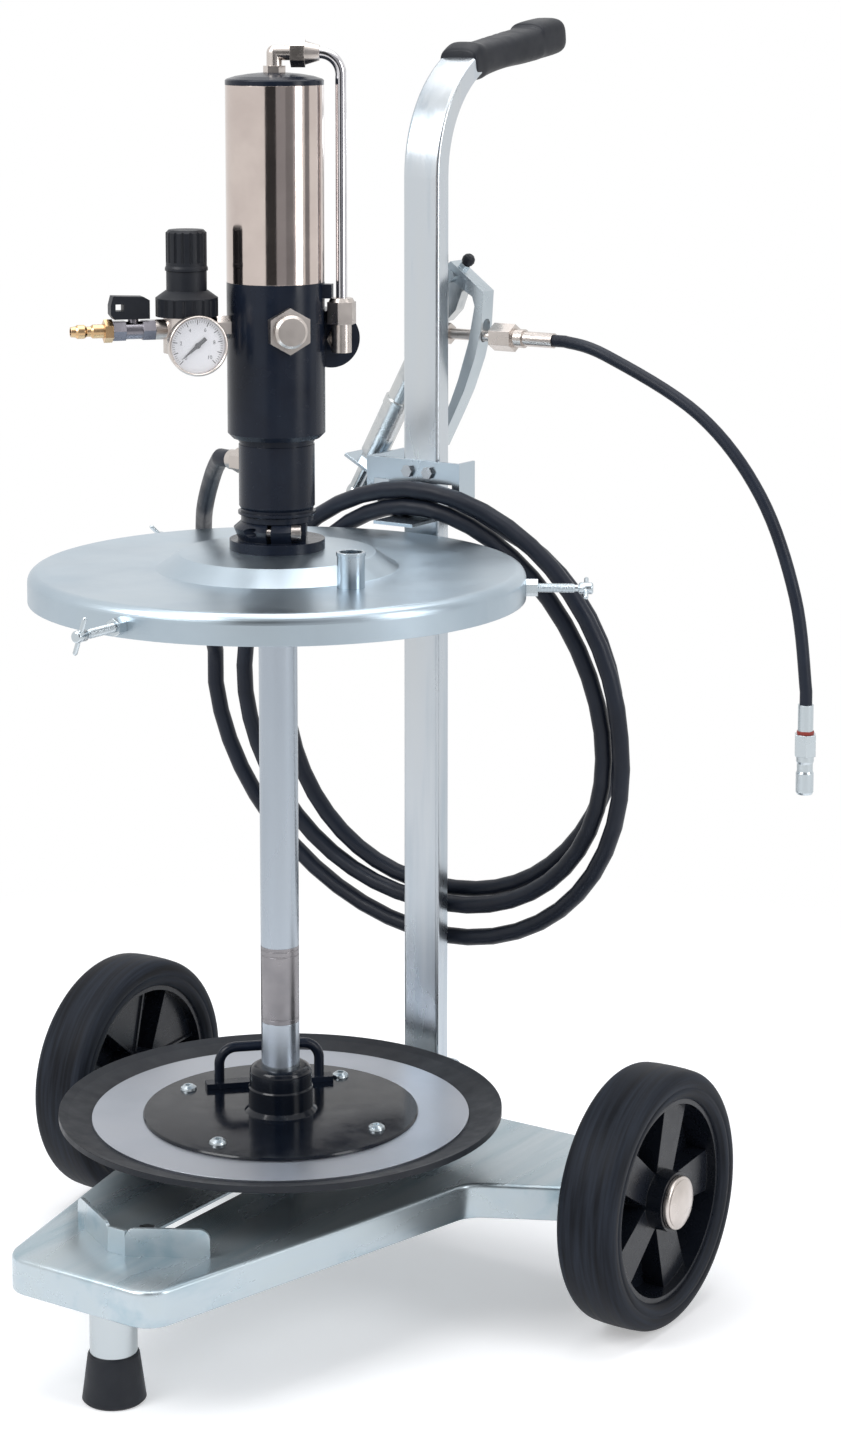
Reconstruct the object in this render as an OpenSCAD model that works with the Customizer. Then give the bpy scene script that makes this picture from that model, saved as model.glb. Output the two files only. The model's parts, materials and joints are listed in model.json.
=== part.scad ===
// Pneumatic grease pump on a two-wheeled drum trolley, in millimetres.
// The pump stands on the tray through its suction tube. A cover plate and a follower plate ride on
// that tube. The trolley's column carries a coil of grease hose and a grease gun with a whip hose.
// X runs along the axle, +Y points to the handle and +Z up. The origin is on the floor.

/* [Trolley] */
// Height of the tray's top face
tray_top = 122.5; // [110:0.5:140]
// Thickness of the tray's sheet
tray_sheet = 2.5; // [2:0.5:4]
// Height of the tray's turned-down skirt
tray_skirt = 30.5; // [24:0.5:40]
// Distance from the pump axis to the tray's front edge
tray_front = 281; // [270:1:320]
// Distance from the pump axis to the tray's rear edge
tray_rear = 217.5; // [210:0.5:240]
// Gap between the tray's wing and a wheel's hub
wheel_gap = 3.5; // [2:0.5:12]
// Angle between the tray's side edge and the pump's fore-and-aft plane
flare_angle = 13.2; // [8:0.2:18]
// Angle by which a wing's front edge sweeps back
sweep_angle = 27.5; // [15:0.5:35]
// Width of the drum stop's slot
slot_width = 11; // [9:0.5:14]
// Diameter of the foot post
post_d = 39.5; // [32:0.5:46]
// Distance from the pump axis to the foot post
foot_front = 234; // [220:1:245]
// Width of the column's tube, along the axle
column_w = 38; // [32:1:44]
// Depth of the column's tube
column_t = 19; // [16:0.5:26]
// Wall of the column's tube
column_wall = 2; // [1.5:0.5:3]
// Height at which the column starts to bend back
bend_start = 980; // [940:5:1010]
// Angle through which the column bends
bend_angle = 65; // [45:1:70]
// Length of the handle grip
grip_length = 152; // [130:1:170]

/* [Wheels] */
// Outer diameter of the tyres
tyre_d = 226; // [215:1:234]
// Width of the tyres
tyre_w = 56; // [46:1:60]
// Diameter of the rim where the tyre sits
rim_d = 176; // [150:1:180]
// Distance between the middle planes of the wheels
track = 573; // [568:1:590]
// Distance from the pump axis to the axle
axle_back = 144.5; // [135:0.5:160]
// Diameter of the axle
axle_d = 12; // [10:0.5:12]

/* [Air motor] */
// Outer diameter of the motor
motor_d = 83; // [78:0.5:88]
// Height of the black motor body
motor_length = 132.5; // [120:0.5:145]
// Length of the bright cylinder
cylinder_length = 165; // [140:1:180]
// Diameter of the bent air tube
air_tube_d = 9.5; // [8:0.5:11]
// Half stroke of the air piston
half_stroke = 50; // [30:1:55]

/* [Pump and cover] */
// Diameter of the lower pump body
pump_d = 64.6; // [58:0.2:70]
// Height of the lower pump body
pump_length = 71; // [62:0.5:80]
// Height from the cover's middle to the lower pump body
clamp_height = 24.5; // [22:0.5:28]
// Diameter of the suction tube
tube_d = 33.4; // [30:0.2:36]
// Diameter of the drum cover
lid_d = 425; // [410:1:426]
// Height of the cover's flat rim
lid_rim_z = 659.5; // [650:0.5:664]
// Height of the cover's skirt
lid_skirt = 26; // [20:0.5:32]
// Sheet thickness of the cover
lid_sheet = 2; // [1.5:0.5:3]
// Height of the cover's middle above its rim
lid_rise = 16; // [10:0.5:18]
// Diameter of the vent stub
vent_d = 23; // [18:0.5:28]

/* [Follower] */
// Reach of the follower's rubber lip beyond its bright plate
lip_reach = 28.8; // [22:0.2:32]
// Height of the rubber's flat underside at rest
seal_z = 167.5; // [160:0.5:180]
// Diameter of the follower's bright plate
plate_d = 329; // [300:1:335]
// Diameter of the follower's black disc
disc_d = 240.6; // [220:0.2:250]
// Diameter of the disc's collar
hub_d = 56.4; // [48:0.4:60]
// Height of the disc's collar
hub_h = 43; // [30:1:50]

/* [Regulator and gauge] */
// Height of the air line's axis above the foot of the black motor body
air_rise = 95; // [85:1:105]
// Direction of the air line, seen from above
air_angle = 231; // [220:1:240]
// Distance from the pump axis to the regulator
regulator_out = 77; // [74:0.5:84]
// Diameter of the regulator's collar
collar_d = 52.5; // [44:0.5:53]
// Diameter of the gauge
gauge_d = 50.5; // [40:0.5:52]

/* [Gun and hoses] */
// Tilt of the gun's barrel from upright
gun_tilt = 28.4; // [24:0.2:32]
// Diameter of the gun's lower barrel
barrel_d = 25; // [20:0.5:28]
// Diameter of the main hose
hose_d = 15.5; // [12:0.5:16]
// Diameter of the whip hose
whip_d = 11; // [9:0.5:12]

/* [Hidden] */
$fn = 64;

// Shared allowances: overrun of cuts, running clearance, seating gap, arc step
over = 1;
run_gap = 0.05;
seat_gap = 0.3;
arc_steps = 8;

// The pump's heights, each stacked on the piece below it, and widths set by a neighbour
lid_top = lid_rim_z + lid_rise;
pump_foot = lid_top + clamp_height;
motor_foot = pump_foot + pump_length;
cylinder_foot = motor_foot + motor_length;
air_z = motor_foot + air_rise;
seal_d = plate_d + 2 * lip_reach;
hub_w = 66;
wing_half = track / 2 - hub_w / 2 - wheel_gap;

// Plain colours
zinc = [0.76, 0.80, 0.83];
zinc_dark = [0.60, 0.61, 0.62];
nickel = [0.82, 0.80, 0.76];
stainless = [0.75, 0.70, 0.67];
brass_tint = [0.75, 0.61, 0.40];
black_paint = [0.13, 0.15, 0.19];
black_plastic = [0.15, 0.16, 0.19];
rubber_black = [0.17, 0.18, 0.20];
dial_white = [0.95, 0.95, 0.93];

// Points on an arc about a centre, from one angle to another
function arc(centre, radius, from, to, steps = arc_steps) =
  [for (i = [0:steps]) centre + radius * unit(from + (to - from) * i / steps)];
function unit(angle) = [cos(angle), sin(angle)];
function flip(points) = [for (i = [len(points) - 1:-1:0]) [-points[i][0], points[i][1]]];

// A rectangle with rounded corners
module rounded(w, h, r) {
  x = w / 2 - r;
  y = h / 2 - r;
  polygon(concat(
    arc([x, y], r, 0, 90),
    arc([-x, y], r, 90, 180),
    arc([-x, -y], r, 180, 270),
    arc([x, -y], r, 270, 360)
  ));
}
module tube(outer, inner, h) {
  difference() {
    cylinder(d = outer, h = h);
    translate([0, 0, -over])
      cylinder(d = inner, h = h + 2 * over);
  }
}
module hexagon(across, h) {
  cylinder(d = across / cos(30), h = h, $fn = 6);
}
// Turns Z onto X, so that a piece built upward lies along the axle
module along_x() {
  rotate([0, 90, 0])
    children();
}
module frame() {
  translate([0, centre_shift, 0])
    children();
}

// Column and handle, worked out from the tray's rear edge
joint_plate = 3;
column_y = tray_rear + joint_plate + column_t / 2;
bend_r = 112;
column_r = 3;
grip_angle = 8;
grip_w = 40;
grip_h = 31;
grip_r = 12;
bend_end_y = column_y + bend_r * (1 - cos(bend_angle));
bend_end_z = bend_start + bend_r * sin(bend_angle);
grip_end_y = bend_end_y + grip_length * cos(grip_angle);
centre_shift = (tray_front - grip_end_y) / 2;
echo(centre_shift = centre_shift);

// Tray outline: arcs whose tangent lines are its straight edges
front_r = 26;
knee_r = 30;
wing_r = 14;
rear_r = 10;
side_offset = 138;
wing_offset = 17.7;
side_normal = unit(-flare_angle);
wing_normal = unit(sweep_angle - 90);
front_centre = [
  (side_offset - front_r - (tray_front - front_r) * sin(flare_angle)) / cos(flare_angle),
  front_r - tray_front
];
// Where two lines, each given by its normal and offset, cross
function crossing(n1, d1, n2, d2) =
  [d1 * n2[1] - d2 * n1[1], n1[0] * d2 - n2[0] * d1] / (n1[0] * n2[1] - n1[1] * n2[0]);
knee_centre = crossing(side_normal, side_offset + knee_r, wing_normal, wing_offset + knee_r);
wing_centre = [
  wing_half - wing_r,
  ((wing_half - wing_r) * wing_normal[0] - wing_offset + wing_r) / -wing_normal[1]
];
rear_centre = [wing_half - rear_r, tray_rear - rear_r];
function tray_side(inset) = concat(
  arc(front_centre, front_r - inset, -90, -flare_angle),
  arc(knee_centre, -knee_r - inset, -flare_angle, sweep_angle - 90),
  arc(wing_centre, wing_r - inset, sweep_angle - 90, 0),
  arc(rear_centre, rear_r - inset, 0, 90)
);
function tray_outline(inset) = concat(tray_side(inset), flip(tray_side(inset)));

slot_front = -215;
slot_back = -40;
tray_under = tray_top - tray_sheet;
skirt_foot = tray_top - tray_skirt;
rear_bolt_x = 30;
rear_bolt_z = skirt_foot + tray_skirt / 2;
bolt_d = 8;
bolt_head = 13;
bolt_head_h = 5;
axle_z = tyre_d / 2;

module tray() {
  color(zinc)
  frame()
  difference() {
    translate([0, 0, skirt_foot])
      linear_extrude(tray_skirt)
        polygon(tray_outline(0));
    translate([0, 0, skirt_foot - over])
      linear_extrude(tray_skirt - tray_sheet + over)
        polygon(tray_outline(tray_sheet));
    translate([-slot_width / 2, slot_front, tray_under - over])
      cube([slot_width, slot_back - slot_front, tray_sheet + 2 * over]);
    for (y = [slot_front, slot_back])
      translate([0, y, tray_under - over])
        cylinder(d = slot_width, h = tray_sheet + 2 * over);
    translate([-wing_half - over, axle_back, axle_z])
      along_x()
        cylinder(d = axle_d + run_gap, h = 2 * (wing_half + over));
    for (x = [-rear_bolt_x, rear_bolt_x])
      translate([x, tray_rear + over, rear_bolt_z])
        rotate([90, 0, 0])
          cylinder(d = bolt_d, h = tray_sheet + 2 * over);
  }
}

cap_depth = 5;
axle_half = track / 2 + hub_w / 2 - cap_depth;
module axle() {
  color(zinc_dark)
  frame()
  translate([-axle_half, axle_back, axle_z])
    along_x()
      cylinder(d = axle_d, h = 2 * axle_half);
}

ferrule_h = 41.5;
ferrule_top_d = 43;
ferrule_d = 53;
ferrule_base = 9;
module foot_post() {
  color(zinc)
  frame()
  translate([0, -foot_front, ferrule_base])
    cylinder(d = post_d, h = tray_under - ferrule_base);
}
module foot_ferrule() {
  foot_edge = 2;
  color(rubber_black)
  frame()
  translate([0, -foot_front, 0])
  difference() {
    rotate_extrude()
      polygon([
        [0, 0],
        [ferrule_d / 2 - foot_edge, 0],
        [ferrule_d / 2, foot_edge],
        [ferrule_top_d / 2, ferrule_h - foot_edge],
        [ferrule_top_d / 2 - foot_edge / 2, ferrule_h],
        [0, ferrule_h]
      ]);
    translate([0, 0, ferrule_base])
      cylinder(d = post_d, h = ferrule_h);
  }
}

module column_section(w, t, r, wall) {
  difference() {
    rounded(w, t, r);
    rounded(w - 2 * wall, t - 2 * wall, r / 2);
  }
}
// Carries its children to the top end of the bent column, with Z along the tube
module at_column_end() {
  translate([0, bend_end_y, bend_end_z])
    rotate([-bend_angle, 0, 0])
      children();
}
module column() {
  color(zinc)
  frame()
  difference() {
    translate([0, column_y, bend_start])
      union() {
        translate([0, 0, skirt_foot - bend_start])
          linear_extrude(bend_start - skirt_foot)
            column_section(column_w, column_t, column_r, column_wall);
        translate([0, bend_r, 0])
          rotate([90, 0, -90])
            rotate_extrude(angle = bend_angle)
              translate([bend_r, 0])
                rotate(90)
                  column_section(column_w, column_t, column_r, column_wall);
      }
    translate([0, column_y - column_t, rear_bolt_z + plate_rise])
      rotate([-90, 0, 0])
        cylinder(d = bolt_d, h = 2 * column_t);
    for (x = [-bracket_bolt_x, bracket_bolt_x])
      translate([x, bracket_back - over, bracket_bolt_z])
        rotate([-90, 0, 0])
          cylinder(d = small_bolt_d, h = column_wall + over);
  }
}
plate_w = 92;
plate_h = 96;
plate_rise = 48;
plate_corner = 8;
module column_plate() {
  color(zinc)
  frame()
  translate([0, tray_rear + joint_plate, skirt_foot + plate_h / 2])
    rotate([90, 0, 0])
      difference() {
        linear_extrude(joint_plate)
          rounded(plate_w, plate_h, plate_corner);
        for (x = [-rear_bolt_x, rear_bolt_x])
          translate([x, rear_bolt_z - skirt_foot - plate_h / 2, -over])
            cylinder(d = bolt_d, h = joint_plate + 2 * over);
        translate([0, rear_bolt_z + plate_rise - skirt_foot - plate_h / 2, -over])
          cylinder(d = bolt_d, h = joint_plate + 2 * over);
      }
}

// The grip's side outline follows its top and bottom curves, then a rounded section trims it
grip_step_share = 0.70;
grip_lip = 4;
grip_collar = 16;
grip_ridge = 1.2;
module handle_grip() {
  color(black_plastic)
  frame()
  difference() {
    intersection() {
      translate([0, bend_end_y, bend_end_z])
        rotate([90 + grip_angle, 0, 0])
          translate([0, 0, -grip_length - over])
            linear_extrude(grip_length + grip_collar + 2 * over)
              translate([0, grip_lip / 2])
                rounded(grip_w, grip_h + grip_lip, grip_r);
      translate([grip_w, bend_end_y, bend_end_z])
        rotate([grip_angle, 0, 0])
          rotate([90, 0, -90])
            linear_extrude(2 * grip_w)
              mirror([1, 0])
                polygon(grip_outline);
    }
    at_column_end()
      translate([0, 0, -grip_collar - grip_lip])
        linear_extrude(grip_collar + grip_lip)
          rounded(column_w, column_t, column_r);
    for (y = grip_groove_shares)
      translate([0, bend_end_y, bend_end_z])
        rotate([grip_angle, 0, 0])
          translate([-grip_w, grip_length * y, grip_h / 2 - grip_ridge])
            cube([2 * grip_w, grip_ridge, grip_lip]);
  }
}
grip_groove_shares = [0.34, 0.40, 0.46, 0.52, 0.58];
grip_outline = concat(
  [
    [-grip_collar * 0.62, grip_h * 0.42],
    [-grip_collar * 0.22, grip_h * 0.62],
    [grip_length * 0.12, grip_h * 0.50],
    [grip_length * grip_step_share, grip_h * 0.50],
    [grip_length * grip_step_share + grip_lip, grip_h * 0.50 + grip_lip]
  ],
  arc([grip_length - grip_r, grip_h / 2 + grip_lip - grip_r], grip_r, 90, 0),
  arc([grip_length - grip_r, grip_r - grip_h / 2], grip_r, 0, -90),
  [
    [grip_length * 0.3, -grip_h * 0.42],
    [grip_length * 0.14, -grip_h * 0.46],
    [grip_collar * 0.5, -grip_h * 0.42],
    [grip_collar * 0.06, -grip_h * 0.66]
  ]
);

// Bolts that join tray, plate and column, and those of the hose bracket
bracket_z = 724;
bracket_h = 34;
bracket_bolt_drop = 10.5;
bracket_bolt_z = bracket_z - bracket_bolt_drop;
bracket_bolt_x = 11;
small_bolt_d = 6;
small_bolt_head = 10;
small_bolt_h = 4;
module flat_bolt(grip) {
  hexagon(bolt_head, bolt_head_h);
  translate([0, 0, -grip])
    cylinder(d = bolt_d, h = grip);
  translate([0, 0, -grip - bolt_head_h])
    hexagon(bolt_head, bolt_head_h);
}
module trolley_bolts() {
  color(zinc_dark)
  frame() {
    for (x = [-rear_bolt_x, rear_bolt_x])
      translate([x, tray_rear + joint_plate, rear_bolt_z])
        rotate([-90, 0, 0])
          flat_bolt(tray_sheet + joint_plate);
    translate([0, column_y + column_t / 2, rear_bolt_z + plate_rise])
      rotate([-90, 0, 0])
        flat_bolt(column_t + joint_plate);
    for (x = [-bracket_bolt_x, bracket_bolt_x])
      translate([x, bracket_back, bracket_bolt_z])
        rotate([90, 0, 0])
          union() {
            translate([0, 0, -column_wall])
              cylinder(d = small_bolt_d, h = column_wall + bracket_sheet);
            translate([0, 0, bracket_sheet])
              hexagon(small_bolt_head, small_bolt_h);
          }
  }
}

// Hose bracket: a plate across the column, a shelf under the loops and a rest for the gun
bracket_sheet = 3;
bracket_left = -57;
bracket_right = 44;
bracket_back = column_y - column_t / 2;
bracket_flange = 26;
window_w = 16;
window_h = 11;
shelf_half = 21;
shelf_reach = 42;
shelf_drop = 54.2;
shelf_z = bracket_z - shelf_drop;
rest_w = 36;
rest_hole = 17;
rest_along = 34;
module hose_bracket() {
  face_y = bracket_back - bracket_sheet;
  color(zinc)
  frame()
  difference() {
    union() {
      translate([bracket_left, face_y, bracket_z - bracket_h])
        cube([bracket_right - bracket_left, bracket_sheet, bracket_h]);
      translate([bracket_right - bracket_sheet, face_y, bracket_z - bracket_h])
        cube([bracket_sheet, bracket_flange, bracket_h]);
      translate([bracket_left, face_y, bracket_z - bracket_h])
        cube([bracket_sheet, gun_y - face_y + rest_w / 2 - bracket_sheet, bracket_h]);
      translate([-shelf_half, face_y, shelf_z])
        cube([2 * shelf_half, bracket_sheet, bracket_z - bracket_h - shelf_z + over]);
      translate([-shelf_half, face_y - shelf_reach, shelf_z])
        cube([2 * shelf_half, shelf_reach + over, bracket_sheet]);
      intersection() {
        at_gun()
          translate([-rest_w / 2, -rest_w / 2, rest_along - bracket_sheet])
            cube([2 * rest_w, rest_w, bracket_sheet]);
        translate([bracket_left - 2 * rest_w, 0, 0])
          cube([2 * rest_w + bracket_sheet, 2 * gun_y, bracket_z]);
      }
    }
    for (x = [bracket_left + window_w, bracket_right - window_w])
      translate([x - window_w / 2, face_y - over, bracket_z - bracket_h + bracket_sheet])
        cube([window_w, bracket_sheet + 2 * over, window_h]);
    for (x = [-bracket_bolt_x, bracket_bolt_x])
      translate([x, face_y - over, bracket_bolt_z])
        rotate([-90, 0, 0])
          cylinder(d = small_bolt_d, h = bracket_sheet + 2 * over);
    at_gun()
      translate([0, 0, rest_along - 2 * bracket_sheet])
        cylinder(d = rest_hole, h = 3 * bracket_sheet);
  }
}

// Wheel, built upward along its own axis and centred on its middle plane
tyre_round = 9;
tyre_ridge = 3;
rim_wall = 4.5;
rim_w = 44;
web_t = 5;
dish_t = 4;
dish_back = 2;
spoke_count = 5;
spoke_w = 25;
spoke_rim_w = 38;
spoke_d = 26;
hub_outer_d = 52;
cap_d = 46.5;
cap_dome = 5.5;
module tyre() {
  half = tyre_w / 2;
  seat = rim_d / 2;
  edge = half - tyre_ridge;
  rotate_extrude()
    polygon(concat(
      [[seat, -edge], [seat + tyre_ridge, -edge], [seat + 2 * tyre_ridge, -half]],
      arc([tyre_d / 2 - tyre_round, tyre_round - half], tyre_round, -90, 0),
      arc([tyre_d / 2 - tyre_round, half - tyre_round], tyre_round, 0, 90),
      [[seat + 2 * tyre_ridge, half], [seat + tyre_ridge, edge], [seat, edge]]
    ));
}
// The web is closed between the spokes, which widen toward the rim and are hollow from behind
module spoke_outline(wall) {
  reach = rim_d / 2 - rim_wall / 2;
  near = spoke_w / 2 - wall;
  far = spoke_rim_w / 2 - wall;
  polygon([[0, -near], [reach, -far], [reach, far], [0, near]]);
}
module at_spokes() {
  for (i = [0:spoke_count - 1])
    rotate(i * 360 / spoke_count + 90)
      translate([0, 0, -spoke_d / 2])
        children();
}
module rim_web() {
  difference() {
    union() {
      translate([0, 0, dish_back - spoke_d / 2])
        cylinder(d = rim_d - rim_wall * 1.4, h = dish_t);
      at_spokes()
        linear_extrude(spoke_d)
          spoke_outline(0);
    }
    at_spokes()
      translate([0, 0, -over])
        linear_extrude(spoke_d - web_t + over)
          spoke_outline(rim_wall / 2);
  }
}
module rim() {
  half = rim_w / 2;
  difference() {
    union() {
      translate([0, 0, -half])
        tube(rim_d, rim_d - 2 * rim_wall, rim_w);
      rim_web();
      translate([0, 0, -hub_w / 2])
        cylinder(d = hub_outer_d, h = hub_w - cap_depth);
    }
    translate([0, 0, -hub_w / 2 - over])
      cylinder(d = axle_d + 2 * run_gap, h = hub_w + 2 * over);
  }
}
module hub_cap() {
  translate([0, 0, hub_w / 2 - cap_depth])
    difference() {
      rotate_extrude()
        polygon([
          [0, 0], [cap_d / 2, 0], [cap_d / 2, cap_depth],
          [cap_d * 0.43, cap_depth + cap_dome * 0.5],
          [cap_d * 0.30, cap_depth + cap_dome * 0.85],
          [cap_d * 0.12, cap_depth + cap_dome], [0, cap_depth + cap_dome]
        ]);
      translate([0, 0, -over])
        cylinder(d = axle_d + 2 * run_gap, h = cap_depth);
    }
}
module at_wheel(side) {
  frame()
  translate([side * track / 2, axle_back, axle_z])
    rotate([0, side * 90, 0])
      children();
}
module tyre_right() {
  color(rubber_black)
    at_wheel(1)
      tyre();
}
module tyre_left() {
  color(rubber_black)
    at_wheel(-1)
      tyre();
}
module rim_right() {
  color(black_plastic)
    at_wheel(1)
      rim();
}
module rim_left() {
  color(black_plastic)
    at_wheel(-1)
      rim();
}
module hub_cap_right() {
  color(nickel)
    at_wheel(1)
      hub_cap();
}
module hub_cap_left() {
  color(nickel)
    at_wheel(-1)
      hub_cap();
}

// Drum stop: a folded V with two round-ended ears, held by a bolt in the slot
stop_front = -229;
stop_half_angle = 30;
stop_inner = 9;
ear_length = 70;
ear_h = 24;
stop_sheet = 3;
stop_depth = 52;
stop_bolt_back = 40;
module ear(side) {
  round_r = 9;
  translate([side * stop_inner, stop_front, tray_top])
    rotate([0, 0, side > 0 ? stop_half_angle : 180 - stop_half_angle])
      rotate([90, 0, 0])
        translate([0, 0, side > 0 ? -stop_sheet : 0])
          linear_extrude(stop_sheet)
            polygon(concat(
              [[0, 0], [ear_length, 0]],
              arc([ear_length - round_r, ear_h - round_r], round_r, 0, 90),
              arc([round_r, ear_h - round_r], round_r, 90, 180)
            ));
}
module drum_stop() {
  fold = ear_length * 0.95;
  reach = stop_inner + fold * cos(stop_half_angle);
  rise = fold * sin(stop_half_angle);
  base_front = stop_front + stop_sheet / 2;
  color(zinc)
  frame()
  union() {
    translate([0, 0, tray_top])
      difference() {
        linear_extrude(stop_sheet)
          polygon([
            [-stop_inner, base_front], [stop_inner, base_front],
          [reach, base_front + rise], [reach * 0.55, base_front + rise],
          [stop_inner * 1.6, stop_front + stop_depth],
          [-stop_inner * 1.6, stop_front + stop_depth],
          [-reach * 0.55, base_front + rise], [-reach, base_front + rise]
        ]);
        translate([0, stop_front + stop_bolt_back, -over])
          cylinder(d = bolt_d, h = stop_sheet + 2 * over);
      }
    translate([-stop_inner, stop_front, tray_top])
      cube([2 * stop_inner, stop_sheet, ear_h * 0.9]);
    ear(1);
    ear(-1);
  }
}
module drum_stop_bolt() {
  washer_d = 20;
  washer_t = 1.6;
  stack = stop_sheet + tray_sheet;
  color(zinc_dark)
  frame()
  translate([0, stop_front + stop_bolt_back, tray_top + stop_sheet])
    union() {
      cylinder(d = washer_d, h = washer_t);
      translate([0, 0, washer_t])
        hexagon(bolt_head, bolt_head_h);
      translate([0, 0, -stack - seat_gap])
        cylinder(d = bolt_d, h = stack + seat_gap);
      translate([0, 0, -stack - seat_gap - bolt_head_h])
        hexagon(bolt_head, bolt_head_h);
    }
}

// Air motor
cylinder_wall = 1.5;
cylinder_top = cylinder_foot + cylinder_length;
rod_d = 10;
body_chamfer = 4.5;
cap_rim_h = 5;
cap_edge = 1.2;
cap_crown = 5;
module motor_cap() {
  radius = motor_d / 2;
  color(black_paint)
  frame()
  translate([0, 0, cylinder_top])
    rotate_extrude()
      polygon([
        [0, 0], [radius, 0], [radius, cap_rim_h - cap_edge], [radius * 0.97, cap_rim_h],
        [radius * 0.80, cap_rim_h + cap_crown * 0.45],
        [radius * 0.55, cap_rim_h + cap_crown * 0.8],
        [radius * 0.30, cap_rim_h + cap_crown], [0, cap_rim_h + cap_crown]
      ]);
}
module motor_cylinder() {
  color(stainless)
  frame()
  translate([0, 0, cylinder_foot])
    tube(motor_d, motor_d - 2 * cylinder_wall, cylinder_length);
}
lug_w = 9;
lug_drop = 13.5;
lug_h = 12;
lug_angle = 25;
plug_angle = 321;
plug_drop = 38;
housing_angle = 51;
module motor_body() {
  radius = motor_d / 2;
  color(black_paint)
  frame()
  difference() {
    union() {
      translate([0, 0, motor_foot])
        rotate_extrude()
          polygon([
            [0, 0], [radius - body_chamfer, 0], [radius, body_chamfer],
            [radius, cylinder_foot - motor_foot], [0, cylinder_foot - motor_foot]
          ]);
      rotate([0, 0, lug_angle])
        translate([0, -lug_w / 2, cylinder_foot - lug_drop])
          cube([radius + lug_w * 0.8, lug_w, lug_h]);
    }
    translate([0, 0, motor_foot - over])
      cylinder(d = rod_d + 2 * run_gap, h = cylinder_foot - motor_foot + 2 * over);
  }
}

housing_out = 47;
housing_d = 49;
housing_front = 8;
housing_length = 36;
housing_drop = 49.5;
housing_z = cylinder_foot - housing_drop;
module valve_housing() {
  color(black_paint)
  frame()
  difference() {
    rotate([0, 0, housing_angle])
      translate([housing_out, housing_length - housing_front, housing_z])
        rotate([90, 0, 0])
          cylinder(d = housing_d, h = housing_length);
    translate([0, 0, motor_foot])
      cylinder(d = motor_d, h = cylinder_foot - motor_foot);
  }
}
plug_across = 34;
plug_face_d = 28;
plug_hex_h = 9;
plug_round_h = 5;
plug_sink = 3;
module front_plug() {
  root = motor_d / 2 - plug_sink;
  color(nickel)
  frame()
  rotate([0, 0, plug_angle])
    translate([0, 0, cylinder_foot - plug_drop])
      difference() {
        along_x()
          union() {
            translate([0, 0, root])
              hexagon(plug_across, plug_hex_h);
            translate([0, 0, root + plug_hex_h])
              rotate_extrude()
                polygon([
                  [0, 0], [plug_face_d / 2, 0],
                  [plug_face_d / 2, plug_round_h * 0.6],
                  [plug_face_d * 0.42, plug_round_h], [0, plug_round_h]
                ]);
          }
        translate([0, 0, -plug_across])
          cylinder(d = motor_d, h = 2 * plug_across);
      }
}

// Air tube: up from the side elbow, round a bend and into the top elbow
tube_side = 52;
tube_front = 20;
side_nut_h = 22;
top_line_rise = 26.5;
top_line_z = cylinder_top + top_line_rise;
side_nut_rise = 14;
side_nut_z = housing_z + side_nut_rise;
side_nut_d = 22;
top_nut_from = 14;
top_nut_to = 38;
tube_distance = sqrt(tube_side * tube_side + tube_front * tube_front);
tube_bend_r = tube_distance - top_nut_to;
tube_angle = housing_angle - atan(tube_front / tube_side);
module at_air_tube() {
  frame()
    rotate([0, 0, tube_angle])
      children();
}
module air_tube() {
  bend_z = top_line_z - tube_bend_r;
  rise = bend_z - side_nut_z - side_nut_h;
  color(nickel)
  at_air_tube()
  translate([top_nut_to, 0, bend_z])
    union() {
      translate([tube_bend_r, 0, -rise])
        cylinder(d = air_tube_d, h = rise);
      rotate([90, 0, 0])
        rotate_extrude(angle = 90)
          translate([tube_bend_r, 0])
            circle(d = air_tube_d);
    }
}
elbow_leg_d = 13;
elbow_arm_d = 12.5;
top_nut_d = 21;
dome_nut_d = 20;
module air_elbow_top() {
  cap_top = cylinder_top + cap_rim_h + cap_crown;
  nut_length = (top_nut_to - top_nut_from) / 2;
  color(nickel)
  at_air_tube()
  union() {
    translate([0, 0, cap_top])
      hexagon(elbow_leg_d * 1.25, (top_line_z - cap_top) * 0.35);
    translate([0, 0, cap_top])
      cylinder(d = elbow_leg_d, h = top_line_z - cap_top);
    translate([0, 0, top_line_z])
      sphere(d = elbow_leg_d);
    translate([0, 0, top_line_z])
      along_x()
        cylinder(d = elbow_arm_d, h = top_nut_from);
    translate([top_nut_from, 0, top_line_z])
      along_x()
        hexagon(top_nut_d, nut_length);
    translate([top_nut_from + nut_length, 0, top_line_z])
      along_x()
        cylinder(d1 = dome_nut_d, d2 = air_tube_d * 1.35, h = nut_length);
  }
}
side_block = 17;
side_port_d = 14;
side_collar_d = 18;
module air_elbow_side() {
  reach = tube_front - housing_front;
  color(nickel)
  frame()
  rotate([0, 0, housing_angle])
  union() {
    translate([tube_side, -tube_front, housing_z - side_block * 0.6])
      cylinder(d = side_block, h = side_nut_z - housing_z + side_block * 0.6);
    translate([tube_side, -housing_front, housing_z])
      rotate([90, 0, 0])
        cylinder(d = side_port_d, h = reach);
    translate([tube_side, -housing_front, housing_z])
      rotate([90, 0, 0])
        hexagon(side_collar_d, reach * 0.3);
    translate([tube_side, -tube_front, side_nut_z])
      hexagon(side_nut_d, side_nut_h * 0.85);
    translate([tube_side, -tube_front, side_nut_z + side_nut_h * 0.85])
      cylinder(d1 = side_nut_d, d2 = side_nut_d * 0.85, h = side_nut_h * 0.15);
  }
}

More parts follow.
